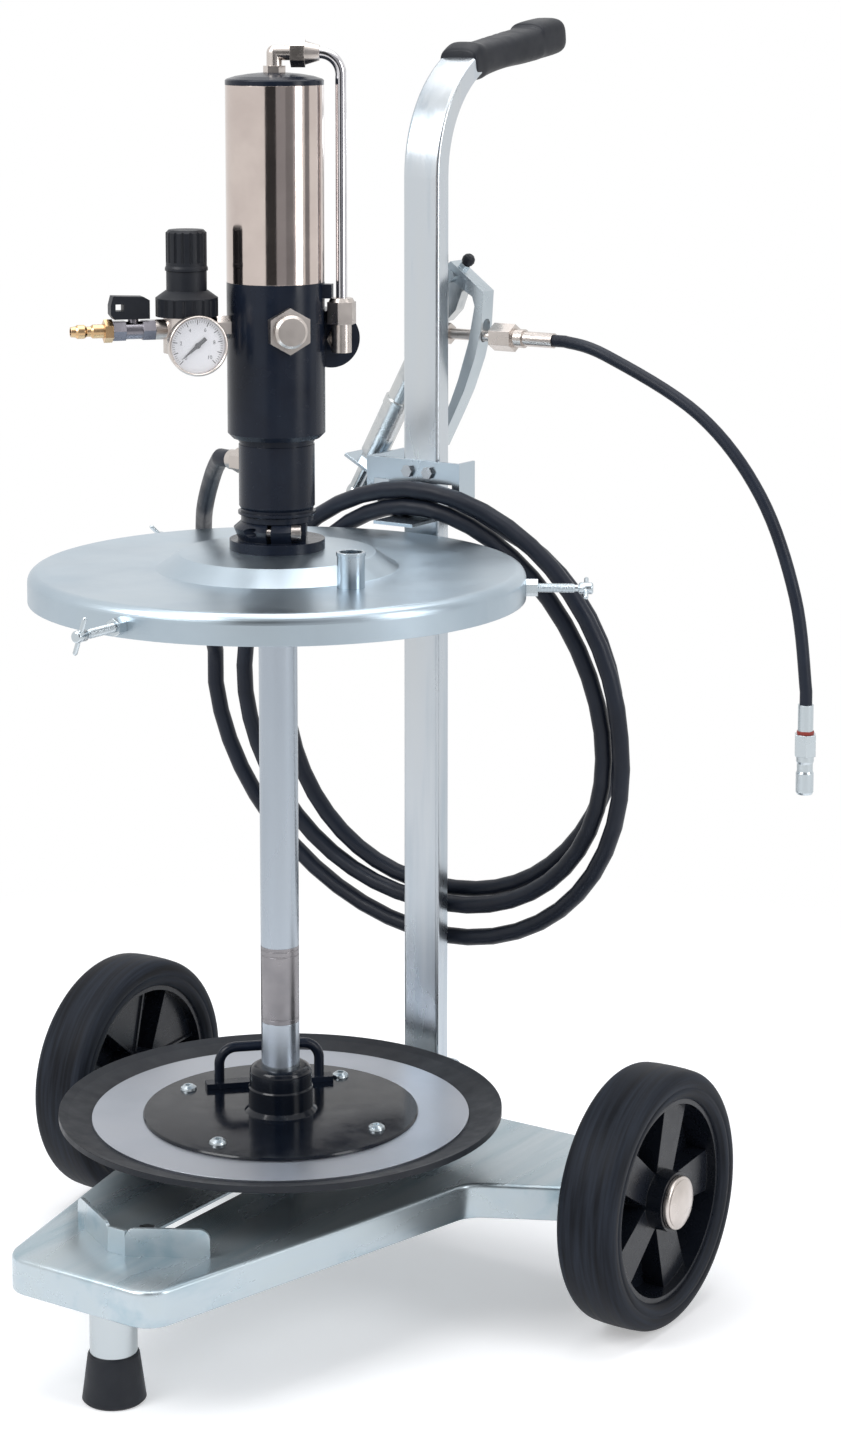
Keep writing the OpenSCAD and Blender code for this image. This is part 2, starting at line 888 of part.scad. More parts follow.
// Piston, its rod and the priming disc: one moving piece
piston_h = 18;
priming_h = 5;
tube_bore = 28;
priming_foot = 18;
priming_gap = 2;
priming_z = tray_top + half_stroke + priming_foot;
module piston() {
  rest_z = cylinder_foot + cylinder_length / 2 - piston_h / 2;
  bore = motor_d - 2 * cylinder_wall - 2 * run_gap;
  color(zinc_dark)
  frame()
  union() {
    translate([0, 0, rest_z])
      cylinder(d = bore, h = piston_h);
    translate([0, 0, priming_z])
      cylinder(d = rod_d, h = rest_z - priming_z);
    translate([0, 0, priming_z])
      cylinder(d = tube_bore - 2 * priming_gap, h = priming_h);
  }
}

// Lower pump body
groove_drop = 3;
groove_z = motor_foot - groove_drop;
groove_w = 2.4;
groove_depth = 0.8;
shoulder_rise = 13;
body_shoulder = pump_foot + shoulder_rise;
neck_d = 61.4;
neck_flange_rise = 6;
neck_flange_z = pump_foot + neck_flange_rise;
module pump_body() {
  radius = pump_d / 2;
  neck = neck_d / 2;
  color(black_paint)
  frame()
  difference() {
    rotate_extrude()
      polygon([
        [rod_d / 2 + run_gap, pump_foot], [neck, pump_foot],
        [neck, neck_flange_z - groove_w / 2], [radius + groove_depth, neck_flange_z],
        [radius + groove_depth, neck_flange_z + groove_w],
        [neck, neck_flange_z + groove_w], [neck, body_shoulder - groove_w],
        [radius, body_shoulder], [radius, groove_z - groove_w],
        [radius - groove_depth, groove_z - groove_w], [radius - groove_depth, groove_z],
        [radius, groove_z], [radius, motor_foot], [rod_d / 2 + run_gap, motor_foot]
      ]);
    rotate([0, 0, outlet_angle])
      translate([outlet_seat, 0, outlet_z])
        along_x()
          cylinder(d = outlet_d, h = pump_d);
  }
}
outlet_angle = 165;
outlet_drop = 26;
outlet_z = motor_foot - outlet_drop;
outlet_seat = 26;
outlet_d = 14;
outlet_hex = 19;
outlet_face = 62;
outlet_bevel = 4;
module outlet_fitting() {
  shell = pump_d / 2 + groove_depth;
  color(nickel)
  frame()
  rotate([0, 0, outlet_angle])
    translate([outlet_seat, 0, outlet_z])
      along_x()
        union() {
          cylinder(d = outlet_d, h = shell - outlet_seat);
          translate([0, 0, shell - outlet_seat])
            hexagon(outlet_hex, outlet_face - shell - outlet_bevel * 2);
          translate([0, 0, outlet_face - outlet_seat - outlet_bevel * 2])
            cylinder(d = hose_d + outlet_bevel / 2, h = outlet_bevel * 2);
        }
}

// Suction tube with its sleeve and its foot windows
sleeve_z = 258;
sleeve_h = 68;
sleeve_t = 1.3;
sleeve_ring = 1.2;
sleeve_ring_shares = [0.05, 0.88, 0.95];
window_z = 12;
foot_window_w = 13;
foot_window_h = 24;
module suction_tube() {
  color(zinc)
  frame()
  difference() {
    translate([0, 0, tray_top])
      tube(tube_d, tube_bore, pump_foot - tray_top);
    translate([0, 0, sleeve_z])
      difference() {
        cylinder(d = tube_d + over, h = sleeve_h);
        cylinder(d = tube_d - 2 * sleeve_t, h = sleeve_h);
      }
    for (a = [45:90:315])
      rotate([0, 0, a])
        translate([0, -foot_window_w / 2, tray_top + window_z])
          cube([tube_d, foot_window_w, foot_window_h]);
  }
}
module tube_sleeve() {
  color(zinc_dark)
  frame()
  difference() {
    translate([0, 0, sleeve_z])
      tube(tube_d, tube_d - 2 * sleeve_t, sleeve_h);
    for (share = sleeve_ring_shares)
      translate([0, 0, sleeve_z + sleeve_h * share])
        difference() {
          cylinder(d = tube_d + over, h = sleeve_ring);
          cylinder(d = tube_d - sleeve_t / 2, h = sleeve_ring);
        }
  }
}

// Bung clamp: a split collar on a round flange, bolted through the cover
clamp_top = pump_foot - seat_gap;
flange_d = 81.4;
flange_h = 8.5;
clamp_d = 74;
clamp_low_d = 66;
clamp_spigot_d = 50;
clamp_spigot_h = 9;
clamp_cut = 25;
clamp_pocket = 8;
screw_half = 13;
split_w = 4;
split_turn = 10;
screw_drop = 7;
screw_z = pump_foot - screw_drop;
screw_angle = 304;
screw_out = 28;
screw_d = 8;
module bung_clamp() {
  color(black_paint)
  frame()
  difference() {
    union() {
      translate([0, 0, lid_top])
        cylinder(d = flange_d, h = flange_h);
      rotate_extrude()
        polygon([
          [0, lid_top - clamp_spigot_h], [clamp_spigot_d / 2, lid_top - clamp_spigot_h],
          [clamp_spigot_d / 2, lid_top], [clamp_low_d / 2, lid_top + flange_h],
          [clamp_d / 2, clamp_top - clamp_spigot_h * 0.6], [neck_d / 2, clamp_top],
          [0, clamp_top]
        ]);
    }
    translate([0, 0, lid_top - clamp_spigot_h - over])
      cylinder(d = tube_d + 2 * run_gap, h = clamp_top - lid_top + clamp_spigot_h + 2 * over);
    rotate([0, 0, screw_angle - split_turn])
      translate([0, -split_w / 2, lid_top + flange_h])
        cube([clamp_d, split_w, clamp_top]);
    rotate([0, 0, screw_angle])
      translate([screw_out - clamp_pocket, screw_half, lid_top + flange_h])
        cube([clamp_d, clamp_d, clamp_top]);
    rotate([0, 0, screw_angle])
      translate([-clamp_d, clamp_cut, lid_top + flange_h])
        cube([2 * clamp_d, clamp_d, clamp_top]);
    rotate([0, 0, screw_angle])
      translate([screw_out, 0, screw_z])
        rotate([90, 0, 0])
          translate([0, 0, -clamp_d])
            cylinder(d = screw_d, h = 2 * clamp_d);
  }
}
module clamp_screw() {
  head_h = 8;
  head_d = 13;
  socket = 6;
  color(nickel)
  frame()
  rotate([0, 0, screw_angle])
    translate([screw_out, -screw_half, screw_z])
      rotate([-90, 0, 0])
        difference() {
          union() {
            cylinder(d = screw_d, h = 2 * screw_half);
            translate([0, 0, 2 * screw_half])
              cylinder(d = head_d, h = head_h);
          }
          translate([0, 0, 2 * screw_half + head_h / 2])
            hexagon(socket, head_h);
        }
}

// Cover: a pressed disc with a raised middle, a rounded rim and a rolled bottom edge
lid_r = lid_d / 2;
rim_round = 9;
step_outer = 104;
step_inner = 84;
bead_r = 2.4;
lid_hole_d = clamp_spigot_d;
function lid_profile(t) = concat(
  [
    [lid_hole_d / 2, lid_top - t], [flange_d / 2, lid_top - t],
    [step_inner, lid_rim_z + lid_rise * 0.80 - t],
    [step_outer, lid_rim_z - t],
    [lid_r - rim_round, lid_rim_z - t]
  ],
  arc([lid_r - rim_round, lid_rim_z - rim_round], rim_round - t, 90, 0),
  [[lid_r - t, lid_rim_z - lid_skirt]]
);
function reversed(points) = [for (i = [len(points) - 1:-1:0]) points[i]];
module drum_lid() {
  color(zinc)
  frame()
  difference() {
    union() {
      rotate_extrude()
        polygon(concat(lid_profile(0), reversed(lid_profile(lid_sheet))));
      translate([0, 0, lid_rim_z - lid_skirt + bead_r])
        rotate_extrude()
          translate([lid_r - bead_r, 0])
            circle(bead_r);
    }
    rotate([0, 0, vent_angle])
      translate([vent_out, 0, lid_rim_z - lid_rise])
        cylinder(d = vent_d - 2 * vent_wall, h = 2 * lid_rise);
    for (a = lid_screw_angles)
      rotate([0, 0, a])
        translate([lid_r - rim_round, 0, lid_screw_z])
          along_x()
            cylinder(d = lid_screw_d + 2 * run_gap, h = 2 * rim_round);
  }
}
vent_out = 118;
vent_angle = -23;
vent_h = 30;
vent_wall = 2;
module vent_stub() {
  lip = 1.4;
  color(zinc)
  frame()
  rotate([0, 0, vent_angle])
    translate([vent_out, 0, lid_rim_z])
      difference() {
        union() {
          cylinder(d = vent_d, h = vent_h);
          translate([0, 0, vent_h - 2 * lip])
            cylinder(d = vent_d + lip, h = 2 * lip);
        }
        translate([0, 0, -lid_rise])
          cylinder(d = vent_d - 2 * vent_wall, h = vent_h + 2 * lid_rise);
      }
}

// Clamp screws of the cover: nut, threaded shank, head and sliding bar
lid_screw_angles = [270, 30, 150];
bar_turns = [70, 20, 45];
lid_screw_drop = 16;
lid_screw_z = lid_rim_z - lid_screw_drop;
lid_screw_d = 8;
lid_nut = 13;
lid_nut_h = 10;
shank_in = 12;
shank_out = 45;
screw_head_d = 10;
screw_head_h = 12;
bar_d = 4;
bar_length = 34;
module lid_nuts() {
  color(zinc)
  frame()
  for (a = lid_screw_angles)
    rotate([0, 0, a])
      translate([lid_r, 0, lid_screw_z])
        along_x()
          difference() {
            hexagon(lid_nut, lid_nut_h);
            translate([0, 0, -over])
              cylinder(d = lid_screw_d + 2 * run_gap, h = lid_nut_h + 2 * over);
          }
}
module lid_screw(a, bar_turn) {
  color(zinc)
  frame()
  rotate([0, 0, a])
    translate([lid_r, 0, lid_screw_z])
      along_x()
        union() {
          translate([0, 0, -shank_in])
            cylinder(d = lid_screw_d, h = shank_in + shank_out);
          translate([0, 0, shank_out])
            cylinder(d = screw_head_d, h = screw_head_h);
          translate([0, 0, shank_out + screw_head_h / 2])
            rotate([0, 0, bar_turn])
              rotate([90, 0, 0])
                translate([0, 0, -bar_length / 2])
                  cylinder(d = bar_d, h = bar_length);
        }
}
module lid_screw_front() {
  lid_screw(lid_screw_angles[0], bar_turns[0]);
}
module lid_screw_right() {
  lid_screw(lid_screw_angles[1], bar_turns[1]);
}
module lid_screw_left() {
  lid_screw(lid_screw_angles[2], bar_turns[2]);
}

// Follower: rubber lip between plates, disc with its collar, screws and a rod handle
follower_bore = tube_d + 2 * run_gap;
seal_t = 5.5;
seal_lip = 8;
plate_t = 2;
disc_t = 2.5;
plate_z = seal_z + seal_t;
disc_z = plate_z + plate_t;
module follower_seal() {
  flat = plate_d / 2 - seal_lip;
  color(rubber_black)
  frame()
  rotate_extrude()
    polygon([
      [follower_bore / 2 + seat_gap, seal_z], [flat, seal_z],
      [seal_d / 2 - seal_lip, seal_z + seal_lip * 0.55], [seal_d / 2, seal_z + seal_lip],
      [seal_d / 2, seal_z + seal_lip + seal_t],
      [seal_d / 2 - seal_lip, seal_z + seal_lip * 0.62 + seal_t],
      [plate_d / 2, plate_z], [follower_bore / 2 + seat_gap, plate_z]
    ]);
}
module follower_plate() {
  color(zinc)
  frame()
  translate([0, 0, plate_z])
    tube(plate_d, follower_bore + 2 * seat_gap, plate_t);
}
module follower_disc() {
  edge = 1;
  fillet = 3.5;
  crown = 6;
  radius = hub_d / 2;
  neck = radius - edge;
  color(black_paint)
  frame()
  translate([0, 0, disc_z])
    rotate_extrude()
      polygon(concat(
        [
          [follower_bore / 2, 0], [disc_d / 2, 0], [disc_d / 2, edge],
          [disc_d / 2 - edge, disc_t], [radius + fillet, disc_t],
          [radius, disc_t + fillet], [radius, hub_h * 0.55],
          [neck, hub_h * 0.58], [neck, hub_h * 0.8]
        ],
        arc([neck - crown, hub_h - crown], crown, 0, 90),
        [[follower_bore / 2, hub_h]]
      ));
}
follower_screw_out = 98;
follower_screw_turn = 3;
pan_d = 15;
pan_h = 4;
module follower_screws() {
  color(zinc)
  frame()
  for (a = [0:90:270])
    rotate([0, 0, a + follower_screw_turn])
      translate([follower_screw_out, 0, disc_z + disc_t])
        difference() {
          rotate_extrude()
            polygon([
              [0, 0], [pan_d / 2, 0], [pan_d * 0.46, pan_h * 0.55],
              [pan_d * 0.3, pan_h], [0, pan_h]
            ]);
          translate([0, 0, pan_h * 0.6])
            hexagon(pan_d * 0.36, pan_h);
        }
}
handle_angle = 135;
handle_out = 66;
handle_span = 90;
handle_rise = 36;
handle_rod = 9;
handle_bend = 15;
foot_bar_w = 13;
foot_bar_h = 5;
foot_bar_past = 12;
module follower_handle() {
  base = disc_z + disc_t;
  leg = handle_span / 2;
  color(black_paint)
  frame()
  rotate([0, 0, handle_angle])
    translate([handle_out, 0, base])
      union() {
        translate([-foot_bar_w / 2, -leg - foot_bar_past, 0])
          cube([foot_bar_w, handle_span + 2 * foot_bar_past, foot_bar_h]);
        for (s = [-1, 1]) {
          translate([0, s * leg, 0])
            cylinder(d = handle_rod, h = handle_rise - handle_bend);
          translate([0, s * (leg - handle_bend), handle_rise - handle_bend])
            rotate([0, 0, s * 90])
              rotate([90, 0, 0])
                rotate_extrude(angle = 90)
                  translate([handle_bend, 0])
                    circle(d = handle_rod);
        }
        translate([0, handle_bend - leg, handle_rise])
          rotate([-90, 0, 0])
            cylinder(d = handle_rod, h = handle_span - 2 * handle_bend);
      }
}

// Air line: local X runs out from the pump, local Y toward the gauge
regulator_d = 40;
regulator_drop = 20;
collar_rise = 10.7;
collar_h = 21.5;
skirt_d = 36;
skirt_h = 16.5;
knob_d = 34.3;
knob_h = 34;
knob_flutes = 16;
flute_d = 3;
flute_depth = 1.1;
port_d = 17;
stem_d = 9;
neck_hex = 17;
module at_air_line() {
  frame()
  rotate([0, 0, air_angle])
    translate([0, 0, air_z])
      children();
}
module regulator_body() {
  low = -regulator_drop;
  high = collar_rise;
  color(nickel)
  at_air_line()
  difference() {
    union() {
      translate([regulator_out, 0, low])
        cylinder(d = regulator_d, h = high - low);
      translate([regulator_out, 0, low - plug_round_h])
        cylinder(d1 = regulator_d * 0.6, d2 = regulator_d * 0.8, h = plug_round_h);
      translate([motor_d / 2 - over, 0, 0])
        along_x()
          hexagon(neck_hex, regulator_out - motor_d / 2);
      translate([regulator_out, 0, 0])
        along_x()
          cylinder(d = port_d, h = valve_from - regulator_out);
      translate([regulator_out, 0, -gauge_drop])
        rotate([-90, 0, 0])
          cylinder(d = stem_d, h = gauge_back);
    }
    translate([0, 0, low - regulator_d])
      cylinder(d = motor_d, h = 3 * regulator_d);
  }
}
module regulator_bonnet() {
  rib_count = 20;
  rib_d = 3;
  skirt_step = 1;
  color(black_plastic)
  at_air_line()
  translate([regulator_out, 0, collar_rise])
    difference() {
      union() {
        cylinder(d = collar_d, h = collar_h * 0.72);
        translate([0, 0, collar_h * 0.72])
          cylinder(d1 = collar_d, d2 = skirt_d, h = collar_h * 0.28);
        translate([0, 0, collar_h])
          cylinder(d = skirt_d - 2 * skirt_step, h = skirt_h);
      }
      for (i = [0:rib_count - 1])
        rotate([0, 0, i * 360 / rib_count])
          translate([collar_d / 2 + rib_d * 0.2, 0, -over])
            cylinder(d = rib_d, h = collar_h * 0.66 + over, $fn = 6);
    }
}
module regulator_knob() {
  top = knob_h;
  color(black_plastic)
  at_air_line()
  translate([regulator_out, 0, collar_rise + collar_h + skirt_h + seat_gap])
    difference() {
      rotate_extrude()
        polygon([
          [0, 0], [skirt_d / 2, 0], [skirt_d / 2, top * 0.06],
          [knob_d / 2, top * 0.12], [knob_d / 2, top * 0.93],
          [knob_d / 2 - top * 0.07, top], [0, top]
        ]);
      for (i = [0:knob_flutes - 1])
        rotate([0, 0, i * 360 / knob_flutes])
          translate([knob_d / 2 + flute_d / 2 - flute_depth, 0, top * 0.2])
            cylinder(d = flute_d, h = top, $fn = 6);
    }
}

// Gauge: cup with a bezel, dial with its scale marks, and a needle
gauge_drop = 10.5;
gauge_back = 26.6;
gauge_depth = 16;
gauge_wall = 1.2;
bezel = 2;
dial_back = 4.5;
module at_gauge() {
  frame()
  rotate([0, 0, air_angle])
    translate([regulator_out, gauge_back, air_z - gauge_drop])
      rotate([-90, 0, 0])
        children();
}
module gauge_case() {
  color(nickel)
  at_gauge()
  difference() {
    union() {
      cylinder(d = gauge_d - bezel, h = gauge_depth);
      translate([0, 0, gauge_depth - 2 * bezel])
        cylinder(d = gauge_d, h = 2 * bezel);
    }
    translate([0, 0, gauge_wall])
      cylinder(d = gauge_d - bezel - 2 * gauge_wall, h = gauge_depth);
  }
}
module gauge_dial() {
  dial_d = gauge_d - bezel - 2 * gauge_wall;
  color(dial_white)
  at_gauge()
  translate([0, 0, gauge_wall])
    difference() {
      cylinder(d = dial_d, h = gauge_depth - gauge_wall - dial_back);
      translate([0, 0, gauge_depth - gauge_wall - dial_back - bezel])
        cylinder(d = pivot_d + 2 * run_gap, h = 2 * bezel);
    }
}
pivot_d = 2.4;
needle_length = 18;
needle_tail = 9;
needle_w = 3.2;
needle_t = 0.8;
needle_rest = 40;
module gauge_needle() {
  color(black_plastic)
  at_gauge()
  translate([0, 0, gauge_depth - dial_back + seat_gap])
    rotate([0, 0, needle_rest])
      union() {
        translate([0, 0, -bezel / 2])
          cylinder(d = pivot_d, h = bezel / 2 + needle_t);
        cylinder(d = 2 * pivot_d, h = needle_t);
        linear_extrude(needle_t)
          polygon([
            [-needle_tail, -needle_w / 2], [0, -needle_w / 2], [needle_length, 0],
            [0, needle_w / 2], [-needle_tail, needle_w / 2]
          ]);
      }
}

// Ball valve, its lever and the plug nipple
valve_from = 105;
valve_to = 141;
valve_d = 15;
valve_hex = 16;
stem_out = 123;
stem_h = 13.5;
module ball_valve() {
  length = valve_to - valve_from;
  color(zinc_dark)
  at_air_line()
  difference() {
    union() {
      translate([valve_from, 0, 0])
        along_x()
          rotate(30)
            hexagon(valve_hex, length * 0.3);
      translate([valve_from + length * 0.3, 0, 0])
        along_x()
          cylinder(d = valve_d, h = length * 0.4);
      translate([valve_to - length * 0.3, 0, 0])
        along_x()
          rotate(30)
            hexagon(valve_hex, length * 0.3);
      translate([stem_out, 0, 0])
        cylinder(d = stem_d, h = stem_h - valve_t);
    }
    translate([stem_out, 0, stem_h - 2 * valve_t - over])
      cylinder(d = pivot_pin + 2 * run_gap, h = 3 * valve_t);
  }
}
valve_t = 4;
pivot_pin = 4;
lever_w = 13;
lever_reach = 20;
lever_rise = 19.5;
lever_bevel = 4;
module valve_lever() {
  color(black_plastic)
  at_air_line()
  translate([stem_out, 0, stem_h - valve_t + seat_gap])
    union() {
      translate([0, 0, -valve_t])
        cylinder(d = pivot_pin, h = valve_t);
      translate([0, lever_w / 2, 0])
        rotate([90, 0, 0])
          linear_extrude(lever_w)
            difference() {
              polygon([
                [-lever_w, 0], [lever_reach * 0.85, 0], [lever_reach, lever_bevel],
                [lever_reach, lever_rise - 2 * lever_bevel], [lever_reach - lever_bevel / 2, lever_rise],
                [-lever_w * 0.6, lever_rise - lever_bevel / 4], [-lever_w, lever_rise - lever_bevel]
              ]);
              translate([lever_reach * 0.62, lever_rise * 0.5])
                square([lever_w * 0.55, lever_rise * 0.3], center = true);
            }
    }
}
brass_hex = 17;
nipple_end = 176;
nipple_d = 11.6;
nipple_bore = 6;
module air_nipple() {
  hex_h = 7;
  stem = nipple_end - valve_to - hex_h;
  radius = nipple_d / 2;
  color(brass_tint)
  at_air_line()
  translate([valve_to, 0, 0])
    along_x()
      difference() {
        union() {
          hexagon(brass_hex, hex_h);
          translate([0, 0, hex_h])
            rotate_extrude()
              polygon([
                [0, 0], [radius, 0], [radius, stem * 0.34],
                [radius * 0.74, stem * 0.40], [radius * 0.74, stem * 0.52],
                [radius, stem * 0.60], [radius, stem * 0.80],
                [radius * 0.8, stem * 0.86], [radius * 0.72, stem], [0, stem]
              ]);
        }
        translate([0, 0, hex_h])
          cylinder(d = nipple_bore, h = stem + over);
      }
}

// Grease gun: local Z runs up its barrel from the inlet elbow
gun_y = 262;
gun_foot_x = -100;
gun_foot_z = 681;
gun_length = 240;
collar_along = 95;
module at_gun() {
  translate([gun_foot_x, gun_y, gun_foot_z])
    rotate([0, gun_tilt, 0])
      children();
}
inlet_d = 16;
inlet_to = -72;
ferrule_w = 14;
gun_nut = 20;
gun_nut_h = 9;
crimp = 0.5;
upper_d = 23;
head_w = 13;
head_from = 196;
head_t = 30;
pivot_along = 236;
pivot_off = -2;
module gun_body() {
  color(zinc)
  frame()
  difference() {
    union() {
      translate([gun_foot_x, gun_y, gun_foot_z])
        sphere(d = inlet_d * 1.15);
      translate([gun_foot_x, gun_y, gun_foot_z])
        along_x()
          cylinder(d = inlet_d * 0.8, h = inlet_to - gun_foot_x);
      translate([inlet_to - ferrule_w, gun_y, gun_foot_z])
        along_x()
          cylinder(d = hose_d + crimp, h = ferrule_w);
      at_gun()
        union() {
          cylinder(d = inlet_d, h = rest_along);
          translate([0, 0, rest_along])
            hexagon(gun_nut, gun_nut_h);
          translate([0, 0, rest_along + gun_nut_h])
            cylinder(d = barrel_d, h = collar_along - rest_along - gun_nut_h);
          translate([0, 0, collar_along])
            cylinder(d = barrel_d * 1.06, h = barrel_d * 0.3);
          translate([0, 0, collar_along])
            cylinder(d = upper_d, h = head_from - collar_along);
          translate([-head_t / 2 - pivot_off, head_w / 2, head_from])
            rotate([90, 0, 0])
              linear_extrude(head_w)
                polygon([
                  [head_t * 0.2, 0], [head_t * 0.85, 0], [head_t, head_t * 0.5],
                  [head_t * 0.92, head_t * 1.1], [head_t * 0.7, head_t * 1.5],
                  [head_t * 0.3, head_t * 1.5], [head_t * 0.1, head_t]
                ]);
        }
    }
    at_gun()
      translate([pivot_off, 0, pivot_along])
        rotate([90, 0, 0])
          translate([0, 0, -head_w])
            cylinder(d = pivot_bolt + 2 * run_gap, h = 2 * head_w);
  }
}
pivot_bolt = 6;

// Outlet of the gun, along the axle's direction
outlet_line_z = 836;
outlet_from = -16;
outlet_hex_from = -8;
outlet_rod_from = 6;
outlet_nut_from = 53;
outlet_nut_to = 75;
outlet_end = 116;
rod_line_d = 10;
gun_out_hex = 17;
gun_out_nut = 22;
whip_ferrule_d = 13.5;
module gun_outlet() {
  ferrule_steps = (outlet_end - outlet_nut_to) / 4;
  color(nickel)
  frame()
  difference() {
    translate([0, gun_y, outlet_line_z])
      along_x()
        union() {
          translate([0, 0, outlet_hex_from])
            hexagon(gun_out_hex, outlet_rod_from - outlet_hex_from);
          translate([0, 0, outlet_from])
            cylinder(d = rod_line_d, h = outlet_nut_from - outlet_from);
          translate([0, 0, outlet_nut_from])
            hexagon(gun_out_nut, outlet_nut_to - outlet_nut_from);
          translate([0, 0, outlet_nut_to])
            cylinder(d = gun_out_hex, h = ferrule_steps);
          translate([0, 0, outlet_nut_to + ferrule_steps])
            cylinder(d = whip_ferrule_d, h = 3 * ferrule_steps);
        }
    at_gun()
      cylinder(d = upper_d, h = gun_length);
  }
}

// Squeeze lever: a folded channel that straddles the outlet, open on its barrel side
lever_wide = 18;
lever_sheet = 2.2;
lever_length = 163;
lever_shares = [
  [-0.055, 0.037], [0.006, 0.083], [0.22, -0.077], [0.206, -0.289], [0.165, -0.452],
  [0.096, -0.636], [0.028, -0.774], [-0.074, -0.969], [-0.11, -0.945], [-0.049, -0.822],
  [0.006, -0.702], [0.055, -0.579], [0.123, -0.367], [0.163, -0.16], [0.147, -0.107],
  [0.021, -0.034], [-0.037, -0.025]
];
slot_rise = 10;
slot_room = 1.6;
lever_slot_w = rod_line_d + slot_room;
module lever_plate(wide, sideways) {
  translate([sideways, wide / 2, 0])
    rotate([90, 0, 0])
      linear_extrude(wide)
        polygon(lever_length * lever_shares);
}
module at_pivot() {
  frame()
  translate([
    gun_foot_x + pivot_along * sin(gun_tilt) + pivot_off * cos(gun_tilt), gun_y,
    gun_foot_z + pivot_along * cos(gun_tilt) - pivot_off * sin(gun_tilt)
  ])
    children();
}
// Puts a piece on the sloping top of the lever, at its small nut
module on_lever() {
  from = lever_length * lever_shares[1];
  to = lever_length * lever_shares[2];
  translate([from[0], 0, from[1]])
    rotate([0, atan2(from[1] - to[1], to[0] - from[0]), 0])
      translate([knob_along, 0, 0])
        children();
}
module gun_trigger() {
  inside = lever_wide - 2 * lever_sheet;
  color(zinc)
  difference() {
    at_pivot()
      union() {
        difference() {
          lever_plate(lever_wide, 0);
          lever_plate(inside, -lever_sheet * 1.2);
        }
        on_lever()
          hexagon(knob_nut, knob_nut_h);
        translate([0, lever_wide / 2 + bolt_rise, 0])
          rotate([90, 0, 0])
            union() {
              cylinder(d = pivot_bolt, h = lever_wide + 2 * bolt_rise);
              cylinder(d = bolt_flange_d, h = bolt_rise);
              translate([0, 0, lever_wide + bolt_rise])
                cylinder(d = bolt_flange_d, h = bolt_rise);
            }
      }
    frame()
      translate([0, gun_y, outlet_line_z])
        along_x()
          union() {
            for (s = [0, -slot_rise])
              translate([s, 0, 0])
                cylinder(d = lever_slot_w, h = track);
            translate([-slot_rise, -lever_slot_w / 2, 0])
              cube([slot_rise, lever_slot_w, track]);
          }
  }
}
// Small black knob on top of the lever's head
knob_along = 10;
knob_nut = 9;
knob_nut_h = 4;
knob_tip_d = 12;
knob_tip_h = 10;
module gun_knob() {
  radius = knob_tip_d / 2;
  color(black_plastic)
  at_pivot()
    on_lever()
      translate([0, 0, knob_nut_h])
        rotate_extrude()
          polygon([
            [0, 0], [radius * 0.6, 0], [radius * 0.9, knob_tip_h * 0.2],
            [radius, knob_tip_h * 0.5], [radius * 0.85, knob_tip_h * 0.8],
            [radius * 0.5, knob_tip_h], [0, knob_tip_h]
          ]);
}
bolt_rise = 3.5;
bolt_flange_d = 12;

// A hose is one closed tube through a row of centre points, ringed square to its run
function norm_of(v) = v / norm(v);
function spline(p, i, t) =
  let (a = p[max(i - 1, 0)], b = p[i], c = p[i + 1], d = p[min(i + 2, len(p) - 1)])
  (2 * b + (c - a) * t + (2 * a - 5 * b + 4 * c - d) * t * t + (3 * b - a - 3 * c + d) * t * t * t) / 2;
function smooth(p, steps) = concat(
  [for (i = [0:len(p) - 2], k = [0:steps - 1]) spline(p, i, k / steps)],
  [p[len(p) - 1]]
);
function run_at(p, i) = norm_of(p[min(i + 1, len(p) - 1)] - p[max(i - 1, 0)]);
function ring(centre, run, across, radius, sides) =
  let (u = norm_of(cross(run, across)), v = cross(run, u))
  [for (k = [0:sides - 1]) centre + radius * (cos(k * 360 / sides) * u + sin(k * 360 / sides) * v)];
module hose(p, runs, across, radius, sides) {
  count = len(p);
  last = (count - 1) * sides;
  points = [for (i = [0:count - 1]) each ring(p[i], runs[i], across, radius, sides)];
  walls = [for (i = [0:count - 2], k = [0:sides - 1])
    let (a = i * sides + k, b = i * sides + (k + 1) % sides)
    each [[a, b, b + sides], [a, b + sides, a + sides]]];
  first_cap = [for (k = [1:sides - 2]) [0, k + 1, k]];
  last_cap = [for (k = [1:sides - 2]) [last, last + k, last + k + 1]];
  polyhedron(points = points, faces = concat(walls, first_cap, last_cap));
}

// Coil: a loop whose reach changes between quarter marks and which leans back as it hangs.
// It starts at its left side, runs down and round, and ends at the gun's inlet ferrule.
coil_turns = 2.74;
coil_mid_z = 487;
coil_reach_x = [243, 206, 208, 188, 160, 183, 180];
coil_reach_z = [212, 216, 212, 184, 196, 173, 184];
coil_lean = 0.11;
coil_top_y = 207;
coil_top_z = 700;
coil_behind = 55;
coil_pass = 18;
loop_rings = 24;
function mark(list, at) =
  let (i = min(floor(at), len(list) - 2), t = at - i)
  list[i] * (1 - t) + list[i + 1] * t;
function ease(t) = t <= 0 ? 0 : t >= 1 ? 1 : t * t * (3 - 2 * t);
function coil_point(turn) =
  let (
    angle = 180 + 360 * turn,
    half = 2 * turn,
    x = mark(coil_reach_x, half) * cos(angle),
    z = coil_mid_z + mark(coil_reach_z, half + 0.5) * sin(angle),
    passed = coil_pass * ease((turn - 2) / 0.3),
    behind = passed + (coil_behind - coil_pass) * ease((turn - 2.35) / 0.35)
  )
  [x, coil_top_y + (coil_top_z - z) * coil_lean + behind, z];
coil_count = floor(coil_turns * loop_rings);
coil_start = coil_point(0);
coil_last = [inlet_to, gun_y, gun_foot_z];
coil_path = concat(
  [coil_start + [0, 0, hose_d]],
  [for (i = [0:coil_count]) coil_point(i * coil_turns / coil_count)],
  [coil_last + [hose_d, 0, 0], coil_last]
);
